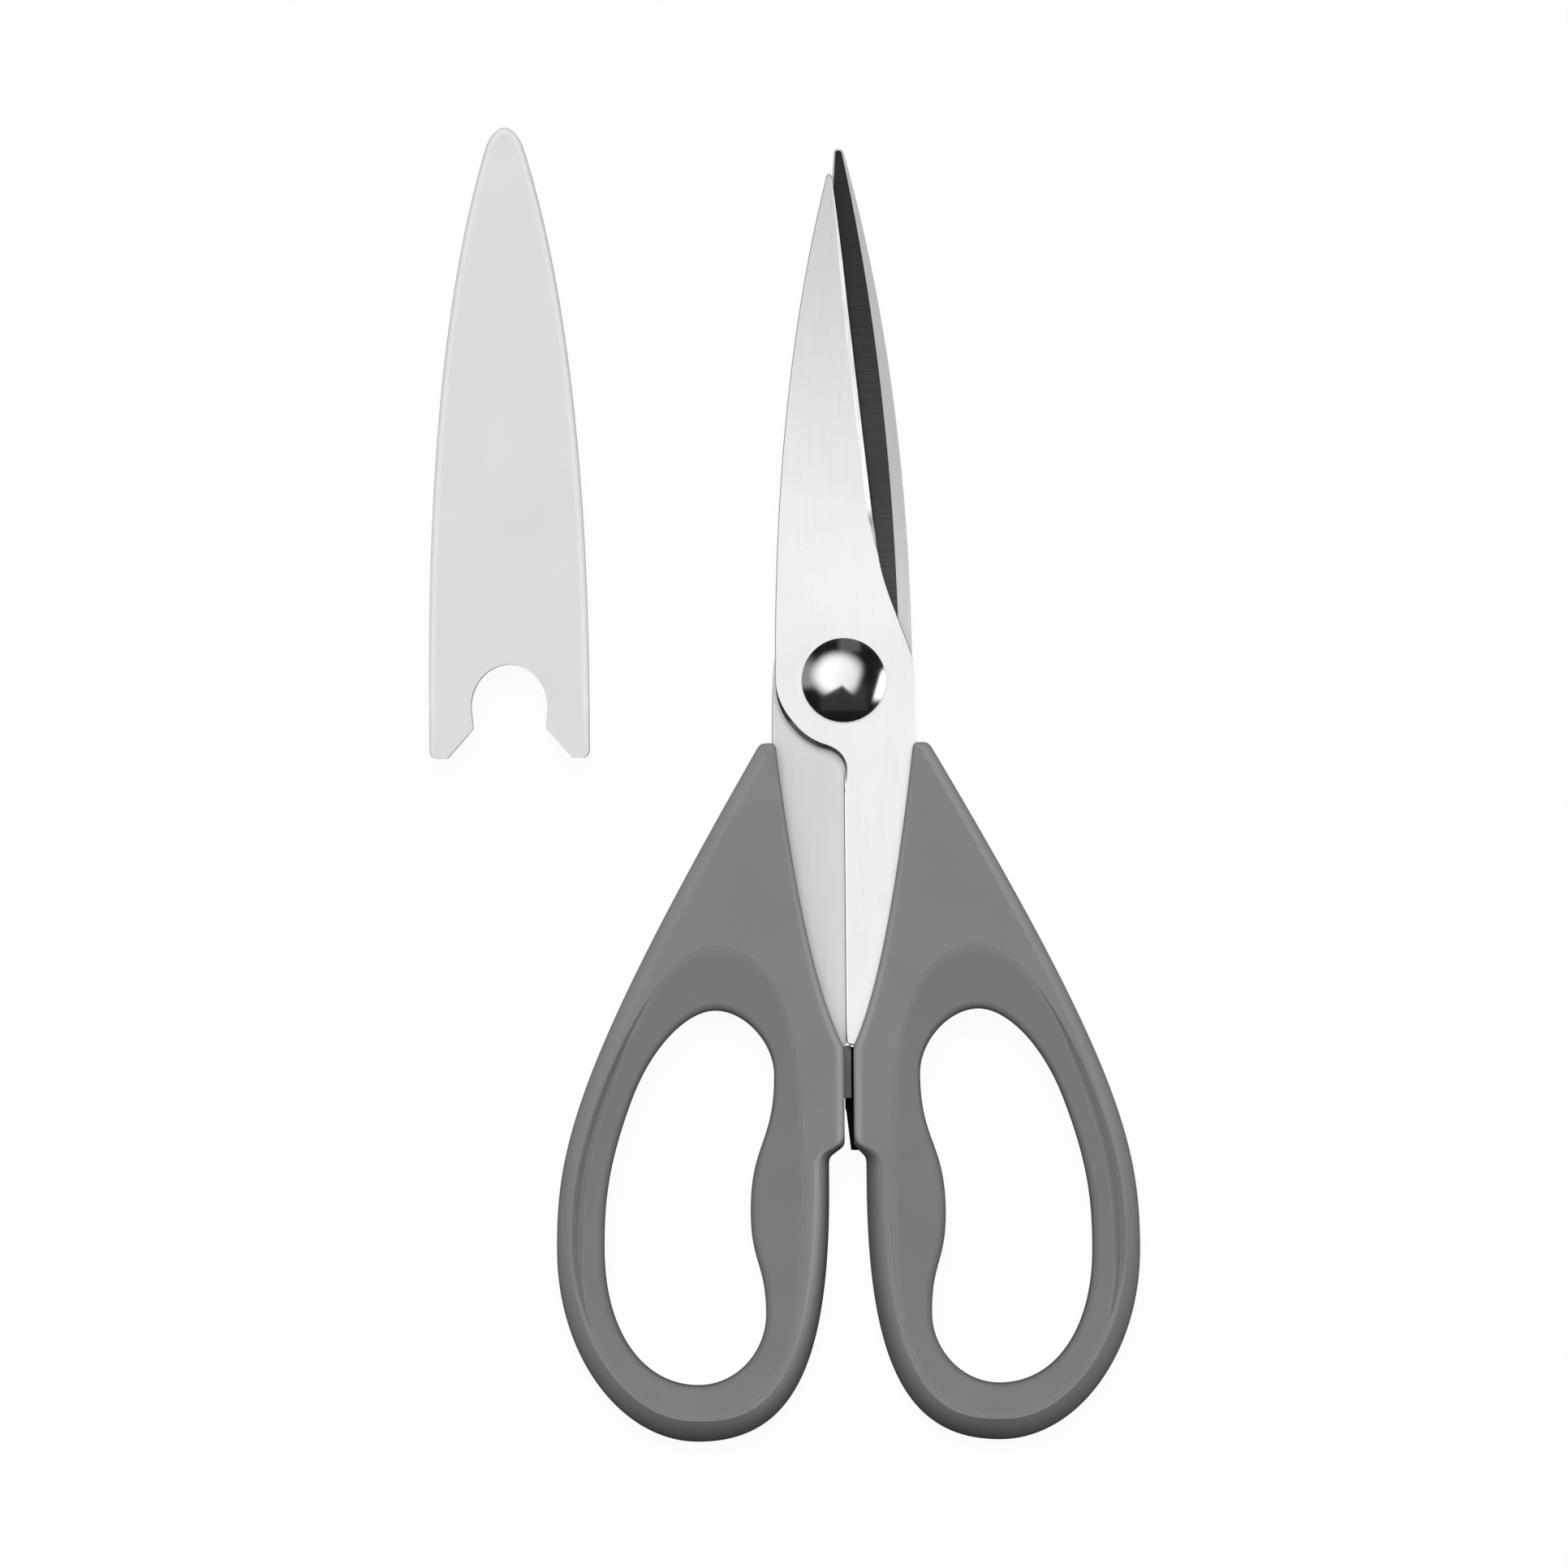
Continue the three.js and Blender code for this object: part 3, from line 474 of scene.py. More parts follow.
FRONT_PLACE = Matrix.Translation((0, 0, MID_Z * MM))
BACK_PLACE = FRONT_PLACE @ Matrix.Rotation(math.pi, 4, "Y")
PIVOT_PLACE = Matrix.Identity(4)
SHEATH_ORIGIN = Vector((SHEATH_AWAY, SHEATH_BOTTOM + SHEATH_MOUTH, SHEATH_THICKNESS / 2))
SHEATH_PLACE = Matrix.Translation(SHEATH_ORIGIN * MM)


def turned(profile):
    """A turned piece about the Z axis from a closed run of (radius, height) pairs."""
    build = Build()
    loops = [build.loop(circle(max(radius, AXIS_RADIUS)), height) for radius, height in profile]
    for lower, upper in zip(loops, loops[1:] + loops[:1]):
        build.band(lower, upper)
    return build


# Handles and grips


def side_controls():
    """The four control points of a handle's outer side, from its top down to its widest place."""
    top = Vector((HANDLE_TOP_INNER + HANDLE_TOP_WIDTH, -HANDLE_TOP))
    lean = top + Vector((math.sin(SIDE_LEAN), -math.cos(SIDE_LEAN))) * SIDE_RUN
    low = Vector((HANDLE_HALF_SPAN, SIDE_ROUND - BOW_WIDEST))
    end = Vector((HANDLE_HALF_SPAN, -BOW_WIDEST))
    return top, lean, low, end


def side_point(t):
    """A place on a handle's outer side, and the way the side runs there."""
    top, lean, low, end = side_controls()
    u = 1 - t
    place = top * u**3 + lean * (3 * u * u * t) + low * (3 * u * t * t) + end * t**3
    along = (lean - top) * u * u + (low - lean) * (2 * u * t) + (end - low) * t * t
    return place, along.normalized()


def edge_point(t):
    """A place on the handle's edge beside the tang, from the stop up to the top."""
    u = 1 - t
    foot = Vector((STOP_HALF_GAP, -STOP_TOP))
    bend = Vector((EDGE_BEND, -EDGE_BEND_DROP))
    top = Vector((HANDLE_TOP_INNER, -HANDLE_TOP))
    return foot * u * u + bend * (2 * u * t) + top * t * t


def handle_outline(is_back):
    """From the stop up beside the tang, down the outer side, round the bow and up the leg."""
    stop_gap = BACK_STOP_GAP if is_back else STOP_HALF_GAP
    leg_round = BACK_LEG_ROUND if is_back else FRONT_LEG_ROUND
    step_round = BACK_STEP_ROUND if is_back else FRONT_STEP_ROUND
    bow_round = BACK_BOW_ROUND if is_back else FRONT_BOW_ROUND
    pen = Pen(stop_gap, -STOP_TOP, STOP_ROUND)
    pen.bend(EDGE_BEND, -EDGE_BEND_DROP, (HANDLE_TOP_INNER, -HANDLE_TOP), TANG_SIDE_ROUND)
    top, lean, low, end = side_controls()
    pen.line(top.x, top.y, TOP_ROUND)
    pen.curve(lean, low, end, SIDE_EDGE)
    pen.turn((HANDLE_HALF_SPAN, -HANDLE_REACH), (BOW_LOWEST, -HANDLE_REACH), edge=bow_round)
    pen.turn((LEG_HALF_GAP, -HANDLE_REACH), (LEG_HALF_GAP, -LEG_TOP), LEG_FULLNESS, leg_round)
    step = Vector((LEG_HALF_GAP, -STOP_BOTTOM - LEG_STEP))
    foot = Vector((stop_gap, -STOP_BOTTOM))
    begun = step + (foot - step).normalized() * STEP_FADE
    pen.line(step.x, step.y)
    pen.line(begun.x, begun.y, step_round)
    pen.line(foot.x, foot.y)
    pen.line(foot.x, foot.y + STEP_FADE, STOP_ROUND)
    return softened(spaced(pen.points), HANDLE_CORNER)


def crown_and_side(peak_y, distance, crown_end, fullness):
    """Starts an outline inside the bow: over its crown, then down at a distance inside the handle's side."""
    start, lean = side_point(crown_end)
    inwards = Vector((lean.y, -lean.x))
    first = start + inwards * distance
    corner_x = first.x + lean.x / lean.y * (peak_y - first.y)
    pen = Pen(GRIP_PEAK, peak_y)
    pen.turn((corner_x, peak_y), first, fullness)
    for i in range(1, CURVE_STEPS + 1):
        place, along = side_point(crown_end + (1 - crown_end) * i / CURVE_STEPS)
        spot = place + Vector((along.y, -along.x)) * distance
        pen.points.append(Vector((*spot, *NO_EDGE)))
    return pen


def grip_outline():
    """The seam between the hard rim and the lining."""
    side = HANDLE_HALF_SPAN - RIM_SIDE
    foot = HANDLE_REACH - RIM_FOOT
    leg = LEG_HALF_GAP + LEG_RIM
    pen = crown_and_side(-GRIP_TOP, RIM_SIDE, GRIP_CROWN_END, GRIP_CROWN_FULLNESS)
    pen.turn((side, -foot), (BOW_LOWEST, -foot))
    pen.turn((leg, -foot), (leg, -LEG_TOP), LEG_FULLNESS)
    pen.turn((leg, -GRIP_TOP), (GRIP_PEAK, -GRIP_TOP), GRIP_LEG_FULLNESS)
    return spaced(pen.points, GRIP_POINTS)


def finger_hole():
    """The lining's inner side, swelling on the leg between two hollows."""
    side = HANDLE_HALF_SPAN - HOLE_SIDE
    foot = HANDLE_REACH - HOLE_FOOT
    top = GRIP_TOP + GRIP_CROWN
    swell = LEG_HALF_GAP + LEG_RIM + GRIP_LEG
    low = -SWELL_HEIGHT - LOWER_HOLLOW_FALL
    pen = crown_and_side(-top, HOLE_SIDE, HOLE_CROWN_END, HOLE_CROWN_FULLNESS)
    pen.turn((side, -foot), (BOW_LOWEST, -foot), HOLE_FOOT_FULLNESS)
    pen.turn((swell - LOWER_HOLLOW, -foot), (swell - LOWER_HOLLOW, low))
    pen.sway(swell, -SWELL_HEIGHT)
    pen.sway(swell - UPPER_HOLLOW, UPPER_HOLLOW_RISE - SWELL_HEIGHT)
    pen.turn((swell - UPPER_HOLLOW, -top), (GRIP_PEAK, -top), HOLE_LEG_FULLNESS)
    return spaced(pen.points, GRIP_POINTS)


def rounded_rows(build, outline, half, inwards=1):
    """Loops round an outline from its lower face to its upper one, with both edges rounded and given a
    painted highlight.
    """
    rows = []
    for sign, wide, tall, painted_sheen in ((-1, LOW_WIDTH, LOW_DROP, LOW_PAINTED_SHEEN), (1, WIDTH, DROP, PAINTED_SHEEN)):
        side = []
        for k in range(ROUND_ROWS + 2):
            angle = math.pi / 2 * min(k / ROUND_ROWS, 1)
            flat = k > ROUND_ROWS
            insets, heights, marks = [], [], []
            for point in outline:
                width, drop, lean = point[wide], point[tall], point[LEAN]
                fall = (1 - lean) * (1 - math.sin(angle)) + lean * math.cos(angle)
                insets.append(inwards * (width * (1 - math.cos(angle)) + flat * PAINTED_SHEEN_WIDTH * point[painted_sheen]))
                heights.append(sign * (half - drop * fall))
                # painted highlight: the mark for the paler tint rises round the edge and ends at the flat
                # face
                marks.append(0 if flat else point[painted_sheen] * math.sin(angle) ** 3)
            side.append(build.loop(moved(outline, insets), heights, marks))
        rows += side if sign > 0 else side[::-1]
    return rows


def add_block(build, corners, heights, finish):
    """A small block of the same piece with softened corners."""
    bottom, top = heights
    pen = Pen(*corners[0], BLOCK_EDGE)
    for corner in corners[1:] + corners[:1]:
        pen.line(*corner)
    start = len(build.points)
    rows = rounded_rows(build, softened(spaced(pen.points[:-1]), SPACING / 2), (top - bottom) / 2)
    for point in build.points[start:]:
        point.z += (top + bottom) / 2
    for lower, upper in zip(rows, rows[1:]):
        build.band(lower, upper, finish)
    build.cap([rows[-1]], True, finish)
    build.cap([rows[0]], False, finish)


def grooves(outline):
    """The share of the full groove at each point of the seam: it runs down the outer side only."""
    leg, side = LEG_HALF_GAP + LEG_RIM, HANDLE_HALF_SPAN - RIM_SIDE
    shares = []
    for point in outline:
        begun = (-point.y - GRIP_TOP - GROOVE_START) / (GROOVE_FULL - GROOVE_START)
        left = (GROOVE_END + GROOVE_FADE + point.y) / GROOVE_FADE
        across = ((point.x - leg) / (side - leg) - GROOVE_LEG) / (1 - GROOVE_LEG)
        shares.append(max(min(begun, left, across, 1), GROOVE_LEAST))
    return shares


def handle(is_back):
    """A rounded body with the seam cut through it, and a rib, or a ledge finished near-black as painted
    shade, in the gap between the stops.
    """
    build = Build()
    outer = rounded_rows(build, handle_outline(is_back), HANDLE_HALF)
    seam = grip_outline()
    hole = []
    for point, share in zip(moved(seam, [-SEAM_GAP] * len(seam)), grooves(seam)):
        width, depth = GROOVE_WIDTH * share, GROOVE_DEPTH * share
        hole.append(Vector((*point, width, depth, width, depth, 1, 0, 0)))
    inner = rounded_rows(build, hole, HANDLE_HALF, -1)
    for lower, upper in zip(outer, outer[1:]):
        build.band(lower, upper)
    for lower, upper in zip(inner, inner[1:]):
        build.band(upper, lower)
    build.cap([outer[-1], inner[-1]], True)
    build.cap([outer[0], inner[0]], False)
    if is_back:
        left, right, low, high = STOP_RIB
        rib = [(left, low), (right, low), (right, high), (left, high)]
        add_block(build, rib, STOP_RIB_Z, PLAIN)
    else:
        # The ledge takes the near-black painted shade
        root = 2 * STOP_HALF_GAP
        ledge = [(root, LEDGE_HIGH), (LEDGE_NECK[0], LEDGE_HIGH), LEDGE_NECK]
        ledge += [(LEDGE_HEAD[0], LEDGE_NECK[1]), LEDGE_HEAD, LEDGE_WAIST, LEDGE_FOOT, (root, LEDGE_FOOT[1])]
        add_block(build, ledge, LEDGE_Z, PAINTED_SHADE)
    return build


def grip():
    """A ring from the hard rim in to the finger hole, its faces sloping down to a rounded lip."""
    outer, inner = grip_outline(), finger_hole()
    spans = [(b - a).xy for a, b in zip(outer, inner)]
    shares = grooves(outer)
    rows, marks = [], []
    for k in range(ROUND_ROWS + 1):
        angle = math.pi / 2 * k / ROUND_ROWS
        across, down = 1 - math.cos(angle), math.cos(angle)
        rows.append([(GROOVE_WIDTH * s * across, 0, GROOVE_DEPTH * s * down) for s in shares])
        marks.append(1)
    for k in range(1, 2 * ROUND_ROWS):
        run = k / (2 * ROUND_ROWS)
        row = []
        for s, span_across in zip(shares, spans):
            inset = GROOVE_WIDTH * s * (1 - run) - GRIP_LIP * run
            row.append((inset, run, GRIP_TILT * span_across.length * run))
        rows.append(row)
        marks.append(max(1 - run / SEAM_BLEND, 0))
    for k in range(ROUND_ROWS + 1):
        angle = math.pi / 2 * k / ROUND_ROWS
        inset, drop = -GRIP_LIP * (1 - math.sin(angle)), GRIP_LIP_DROP * (1 - math.cos(angle))
        rows.append([(inset, 1, GRIP_TILT * span_across.length + drop) for span_across in spans])
        marks.append(0)
    build = Build()
    loops = []
    ordered = list(zip(rows, marks))
    for sign, side in ((1, ordered), (-1, ordered[::-1])):
        for row, mark in side:
            points = []
            for place, span_across, (inset, run, _) in zip(outer, spans, row):
                points.append(place.xy + span_across * run + span_across.normalized() * inset)
            heights = [sign * (HANDLE_HALF - drop) for _, _, drop in row]
            loops.append(build.loop(points, heights, [mark] * len(points)))
    for upper, lower in zip(loops, loops[1:] + loops[:1]):
        build.band(upper, lower)
    return build


# Blades


def blade_outline(reach, tip, is_back):
    """From the tip down the cutting edge and the tang, and back up the seam, the shoulder and the spine."""
    low, middle, high = (edge_point(share) for share in TANG_SHARES)
    tang_end = STOP_TOP - TANG_FIT
    neck = math.radians(180 + SHOULDER_SWEEP)
    tip_middle, tip_width = tip
    tip_right = Vector((tip_middle + tip_width / 2, reach))
    heel = Vector((HEEL_OFFSET, HEEL_HEIGHT))
    pen = Pen(tip_right.x, tip_right.y, TIP_BEVEL)
    if is_back:
        fade = tip_right + (heel - tip_right).normalized() * EDGE_FADE
        pen.line(fade.x, fade.y, EDGE_BEVEL)
    else:
        pen.bend(*EDGE_PULL, EDGE_TURN, EDGE_BEVEL)
    heel_fade = heel + (pen.points[-1].xy - heel).normalized() * HEEL_FADE
    pen.line(heel_fade.x, heel_fade.y)
    pen.line(heel.x, heel.y, HEEL_BEVEL)
    pen.curve(HEEL_PULL, CHOIL_PULL, (BLADE_HALF_WIDTH, CHOIL_HEIGHT))
    pen.bend(TANG_HALF_WIDTH, 0, (TANG_HALF_WIDTH, -HANDLE_TOP), SPINE_BREAK)
    pen.line(high.x + TANG_EMBED, high.y)
    pen.line(middle.x + TANG_EMBED, middle.y)
    pen.line(low.x + TANG_FIT, -tang_end)
    pen.line(SEAM_HALF_GAP, -tang_end, SEAM_BREAK)
    pen.line(SEAM_HALF_GAP, -BLADE_HALF_WIDTH - NECK_DROP - NECK_FADE)
    pen.line(SEAM_HALF_GAP, -BLADE_HALF_WIDTH - NECK_DROP, NECK_BREAK)
    neck_end = (BLADE_HALF_WIDTH * math.cos(neck), BLADE_HALF_WIDTH * math.sin(neck) - SHOULDER_DROP)
    pen.bend(SEAM_HALF_GAP, -BLADE_HALF_WIDTH - SHOULDER_DROP, neck_end, SHOULDER_BREAK)
    fade_start = math.pi + math.radians(SHOULDER_FADE)
    pen.arc(BLADE_HALF_WIDTH, neck, fade_start, drop=SHOULDER_DROP)
    pen.arc(BLADE_HALF_WIDTH, fade_start, math.pi, SPINE_BREAK, SHOULDER_DROP)
    pen.bend(-BLADE_HALF_WIDTH, SPINE_SWELL, (tip_middle - tip_width / 2, reach), TIP_BEVEL)
    return softened(spaced(pen.points), SPACING)


def hollow_outline(reach, tip):
    """The hollow ground into the mating face, short of the spine, the edge and the pivot."""
    spine = BLADE_HALF_WIDTH - SPINE_LAND
    right = HEEL_OFFSET - EDGE_LAND
    foot = math.sqrt(PIVOT_LAND_RADIUS**2 - right**2)
    pen = Pen(right, foot)
    pen.line(right, HEEL_HEIGHT)
    middle, half = tip[0], tip[1] * TIP_HOLLOW_SHARE
    pen.line(middle + half, reach - TIP_LAND)
    pen.line(middle - half, reach - TIP_LAND)
    pen.bend(-spine, SPINE_SWELL, (LOW_LAND - BLADE_HALF_WIDTH, 0))
    pen.points = [p for p in pen.points if p.xy.length >= PIVOT_LAND_RADIUS - TINY]
    last = pen.points[-1].xy
    pen.arc(PIVOT_LAND_RADIUS, math.atan2(last.y, last.x), math.atan2(foot, right))
    return spaced(pen.points[:-1])


def blade(reach, tip, is_back):
    """A plate with bevelled edges, hollow ground and bored, with a seat for the spacer round its bore."""
    build = Build()
    outline = blade_outline(reach, tip, is_back)
    across, down = BREAK_SHARES
    widths, drops = [p[WIDTH] for p in outline], [p[DROP] for p in outline]
    mating = build.loop(moved(outline, [p[LOW_WIDTH] for p in outline]), BLADE_INNER_Z)
    low_side = build.loop(outline, [BLADE_INNER_Z + p[LOW_DROP] for p in outline])
    side = build.loop(outline, [BLADE_OUTER_Z - drop for drop in drops])
    turn_points = moved(outline, [width * across for width in widths])
    turn = build.loop(turn_points, [BLADE_OUTER_Z - drop * down for drop in drops])
    face = build.loop(moved(outline, widths), BLADE_OUTER_Z)
    for lower, upper in ((mating, low_side), (low_side, side), (side, turn), (turn, face)):
        build.band(lower, upper, EDGE)
    hollow = hollow_outline(reach, tip)
    mouth = build.loop(hollow, BLADE_INNER_Z)
    floor = build.loop(hollow, BLADE_INNER_Z + HOLLOW_DEPTH)
    build.band(floor, mouth, HOLLOW)
    build.cap([floor], False, HOLLOW)
    seat = build.loop(circle(SEAT_RADIUS), BLADE_INNER_Z)
    seat_floor = build.loop(circle(SEAT_RADIUS), BLADE_INNER_Z + SEAT_DEPTH)
    bore = build.loop(circle(BORE_RADIUS), BLADE_INNER_Z + SEAT_DEPTH)
    bore_top = build.loop(circle(BORE_RADIUS), BLADE_OUTER_Z)
    build.band(seat_floor, seat, MATING)
    build.cap([seat_floor, bore], False, MATING)
    build.band(bore_top, bore, FACE)
    build.cap([mating, mouth, seat], False, MATING)
    build.cap([face, bore_top], True, FACE)
    return build


# Sheath


def sheath_side(inset, edges):
    """From the right foot round the tip to the left foot, with edge sizes at the corner, side and tip."""
    corner_edge, side_edge, tip_edge = edges
    half = SHEATH_HALF_WIDTH - inset
    tip_half = SHEATH_TIP_HALF_WIDTH - inset
    tip_round = SHEATH_TIP_ROUND * tip_half / SHEATH_TIP_HALF_WIDTH
    tip = SHEATH_TOP - SHEATH_BOTTOM - SHEATH_MOUTH - inset
    shoulder = tip - tip_round
    corner = tip_half - (half - tip_half) / (shoulder - SHEATH_SWELL) * tip_round
    pen = Pen(SHEATH_HALF_WIDTH - FOOT_ROUND, -SHEATH_MOUTH)
    if inset < FOOT_ROUND:
        pen.turn((half, -SHEATH_MOUTH), (half, FOOT_ROUND - SHEATH_MOUTH), edge=corner_edge)
    pen.line(half, 0, side_edge)
    pen.bend(half, SHEATH_SWELL, (tip_half, shoulder), tip_edge)
    pen.turn((corner, tip), (0, tip))
    right = pen.points
    return right + [Vector((-p.x, *p[1:])) for p in right[-2::-1]]


def sheath():
    """A thin shell round the blades, open at the mouth and notched for the pivot."""
    half = SHEATH_THICKNESS / 2
    hollow = half - SHEATH_WALL
    skin = sheath_side(0, (FOOT_EDGE, SHEATH_ROUND, TIP_EDGE))
    lining = sheath_side(FOOT_ROUND, (NO_EDGE, NO_EDGE, NO_EDGE))
    pen = Pen(FOOT_ROUND - SHEATH_HALF_WIDTH, -SHEATH_MOUTH)
    pen.line(FOOT_WIDTH - SHEATH_HALF_WIDTH, -SHEATH_MOUTH)
    pen.line(-NOTCH_LIP, -NOTCH_LIP_DROP)
    pen.line(-NOTCH_RADIUS, 0)
    pen.turn((-NOTCH_RADIUS, NOTCH_RISE), (0, NOTCH_RISE))
    mouth = pen.points[1:]
    mouth += [Vector((-p.x, *p[1:])) for p in mouth[-2::-1]]
    build = Build()
    rows = rounded_rows(build, skin + mouth, half)
    # Painted highlight: the rows round the edge take its full paler tint
    for row in rows[1:-1]:
        for i, point in zip(row, skin + mouth):
            build.marks[i] = point[PAINTED_SHEEN]
    last = len(skin) - 1
    floor, roof = (build.loop(lining + mouth, z) for z in (-hollow, hollow))
    end = len(lining) - 1
    for at, (lower, upper) in enumerate(zip(rows, rows[1:])):
        is_side = at == ROUND_ROWS + 1
        for i in range(last):
            corners = [lower[i], lower[i + 1], upper[i + 1], upper[i]]
            if is_side and i == 0:
                corners += [roof[0], floor[0]]
            if is_side and i == last - 1:
                corners[2:2] = [floor[end], roof[end]]
            build.face(corners)
    top, bottom = rows[-1], rows[0]
    build.cap([top], True)
    build.cap([bottom], False)
    for i in range(end):
        build.face([floor[i + 1], floor[i], roof[i], roof[i + 1]])
    build.cap([roof], False)
    build.cap([floor], True)
    outer_at = len(skin) - len(lining)
    for i in range(end, len(floor)):
        j = (i + 1) % len(floor)
        k, m = i + outer_at, (i + 1 + outer_at) % len(top)
        build.face([roof[i], roof[j], top[m], top[k]])
        build.face([bottom[k], bottom[m], floor[j], floor[i]])
    return build


# Pivot


def rivet_profile():
    """Half the section of the shank and its dome."""
    tail, top = rivet_low.z, rivet_high.z
    base = MID_Z + BLADE_OUTER_Z + (washer_low.z - cap_high.z)
    rise = top - base - DOME_RIM
    sphere = (DOME_RADIUS**2 + rise**2) / (2 * rise)
    spread = math.asin((DOME_RADIUS - DOME_EDGE) / sphere)
    profile = [
        (0, tail),
        (SHANK_RADIUS - CAP_CHAMFER, tail),
        (SHANK_RADIUS, tail + CAP_CHAMFER),
        (SHANK_RADIUS, base),
        (DOME_RADIUS - SMALL_BREAK, base),
        (DOME_RADIUS, base + SMALL_BREAK),
        (DOME_RADIUS, base + DOME_RIM),
    ]
    for i in range(DOME_ROWS + 1):
        angle = spread * (1 - i / DOME_ROWS)
        profile.append((sphere * math.sin(angle), top - sphere * (1 - math.cos(angle))))
    return profile


def cap_profile():
    """Half the section of the cap and its blind bore."""
    low, high = cap_low.z, cap_high.z
    return [
        (0, low),
        (CAP_RADIUS - CAP_CHAMFER, low),
        (CAP_RADIUS - CAP_CHAMFER / 4, low + CAP_CHAMFER / 4),
        (CAP_RADIUS, low + CAP_CHAMFER),
        (CAP_RADIUS, high - SMALL_BREAK),
        (CAP_RADIUS - SMALL_BREAK, high),
        (BORE_RADIUS + SMALL_BREAK, high),
        (BORE_RADIUS, high - SMALL_BREAK),
        (BORE_RADIUS, low + CAP_FLOOR),
        (0, low + CAP_FLOOR),
    ]


def ring_profile(inner, outer, low, high, dish):
    """A flat ring with broken edges, its inner edge higher by the dish."""
    return [
        (inner + SMALL_BREAK, low + dish),
        (outer - SMALL_BREAK, low),
        (outer, low + SMALL_BREAK),
        (outer, high - dish - SMALL_BREAK),
        (outer - SMALL_BREAK, high - dish),
        (inner + SMALL_BREAK, high),
        (inner, high - SMALL_BREAK),
        (inner, low + dish + SMALL_BREAK),
    ]


# Finishes: sizes of the noises are in waves to the metre, and depths are in metres
NOISE_SPAN = (0.3, 0.7)  # a noise's usual lowest and highest value
STEEL_CLOUDS = 60
STEEL_BUMP = 0.3
PLASTIC_CLOUDS = 90
PLASTIC_BUMP = 0.5
BRUSH = (3000, 4e-6)  # scale and depth of the blades' brush lines
BLADE_FADE = (15, 90)  # from where to where along a blade its far tint fades in: painted shade, darker towards the tip
# The mating faces' far tint is painted shade too, fading in towards the tip
MATING_FADE = (-12, 45)
SATIN_METAL = 0.5  # the satin faces scatter the rest of their light, so that they stay pale from every side
LENGTHWISE = (1, 0.03, 1)
CROSSWISE = (0.05, 1, 1)
EVEN = (1, 1, 1)
WHITE = (1, 1, 1, 1)
MIX_COLOURS = (6, 7)  # where Blender's Mix node has its colours, and their mixture
MIX_RESULT = 2


def add_node(tree, kind, *values, **settings):
    """A node with its first inputs set to values or linked to sockets, and its first output if it has one."""
    made = tree.nodes.new(kind)
    for key, value in settings.items():
        setattr(made, key, value)
    for socket, value in zip(made.inputs, values):
        if isinstance(value, bpy.types.NodeSocket):
            tree.links.new(value, socket)
        else:
            socket.default_value = value
    return made.outputs[0] if made.outputs else None


def soft_step(tree, value, ends):
    """Rises softly from 0 at the first end to 1 at the second."""
    return add_node(tree, "ShaderNodeMapRange", value, *ends, 0.0, 1.0, interpolation_type="SMOOTHSTEP")


class Finish:
    """A material's node tree with short ways to add nodes."""

    def __init__(self, name):
        self.material = bpy.data.materials.new(name)
        self.material.use_nodes = True
        self.tree = self.material.node_tree
        self.shader = self.tree.nodes["Principled BSDF"]
        self.place = self.node("ShaderNodeTexCoord").outputs["Object"]

    def node(self, kind, **settings):
        made = self.tree.nodes.new(kind)
        for key, value in settings.items():
            setattr(made, key, value)
        return made

    def join(self, source, target):
        self.tree.links.new(source, target)

    def noise(self, scale, stretch=EVEN, detail=3):
        mapping = self.node("ShaderNodeMapping")
        mapping.inputs["Scale"].default_value = stretch
        self.join(self.place, mapping.inputs["Vector"])
        noise = self.node("ShaderNodeTexNoise")
        noise.inputs["Scale"].default_value = scale
        noise.inputs["Detail"].default_value = detail
        self.join(mapping.outputs["Vector"], noise.inputs["Vector"])
        return noise.outputs["Fac"]

    def ranged(self, value, low, high):
        """Brings a noise's usual span to a range."""
        return add_node(self.tree, "ShaderNodeMapRange", value, *NOISE_SPAN, low, high)

    def mix(self, share, first, second):
        """One colour into another by a share; each is three numbers or a socket."""
        mix = self.node("ShaderNodeMix", data_type="RGBA")
        self.join(share, mix.inputs["Factor"])
        for at, colour in zip(MIX_COLOURS, (first, second)):
            if isinstance(colour, bpy.types.NodeSocket):
                self.join(colour, mix.inputs[at])
            else:
                mix.inputs[at].default_value = (*colour, 1)
        return mix.outputs[MIX_RESULT]

    def tint(self, value, low, high):
        """Colours a noise from one tint to another."""
        return self.mix(self.ranged(value, 0, 1), low, high)

    def colour(self, socket):
        self.join(socket, self.shader.inputs["Base Color"])

    def rough(self, value, low, high):
        self.join(self.ranged(value, low, high), self.shader.inputs["Roughness"])

    def bump(self, value, depth, strength):
        bump = self.node("ShaderNodeBump")
        bump.inputs["Distance"].default_value = depth
        bump.inputs["Strength"].default_value = strength
        self.join(value, bump.inputs["Height"])
        self.join(bump.outputs["Normal"], self.shader.inputs["Normal"])


def steel(name, tints, rough, stretch, brush, far=None, fade=BLADE_FADE, metal=1):
    """Brushed metal between two tints, with a far tint, painted shade darker towards the tip, that fades in
    along the blade if it is given.
    """
    finish = Finish(name)
    finish.shader.inputs["Metallic"].default_value = metal
    scale, depth = brush
    lines = finish.noise(scale, stretch)
    tint = finish.tint(finish.noise(STEEL_CLOUDS), *tints)
    if far:
        along = finish.node("ShaderNodeSeparateXYZ")
        finish.join(finish.place, along.inputs["Vector"])
        share = soft_step(finish.tree, along.outputs["Y"], [place * MM for place in fade])
        tint = finish.mix(share, tint, far)
    finish.colour(tint)
    finish.rough(lines, *rough)
    finish.bump(lines, depth, STEEL_BUMP)
    return finish.material


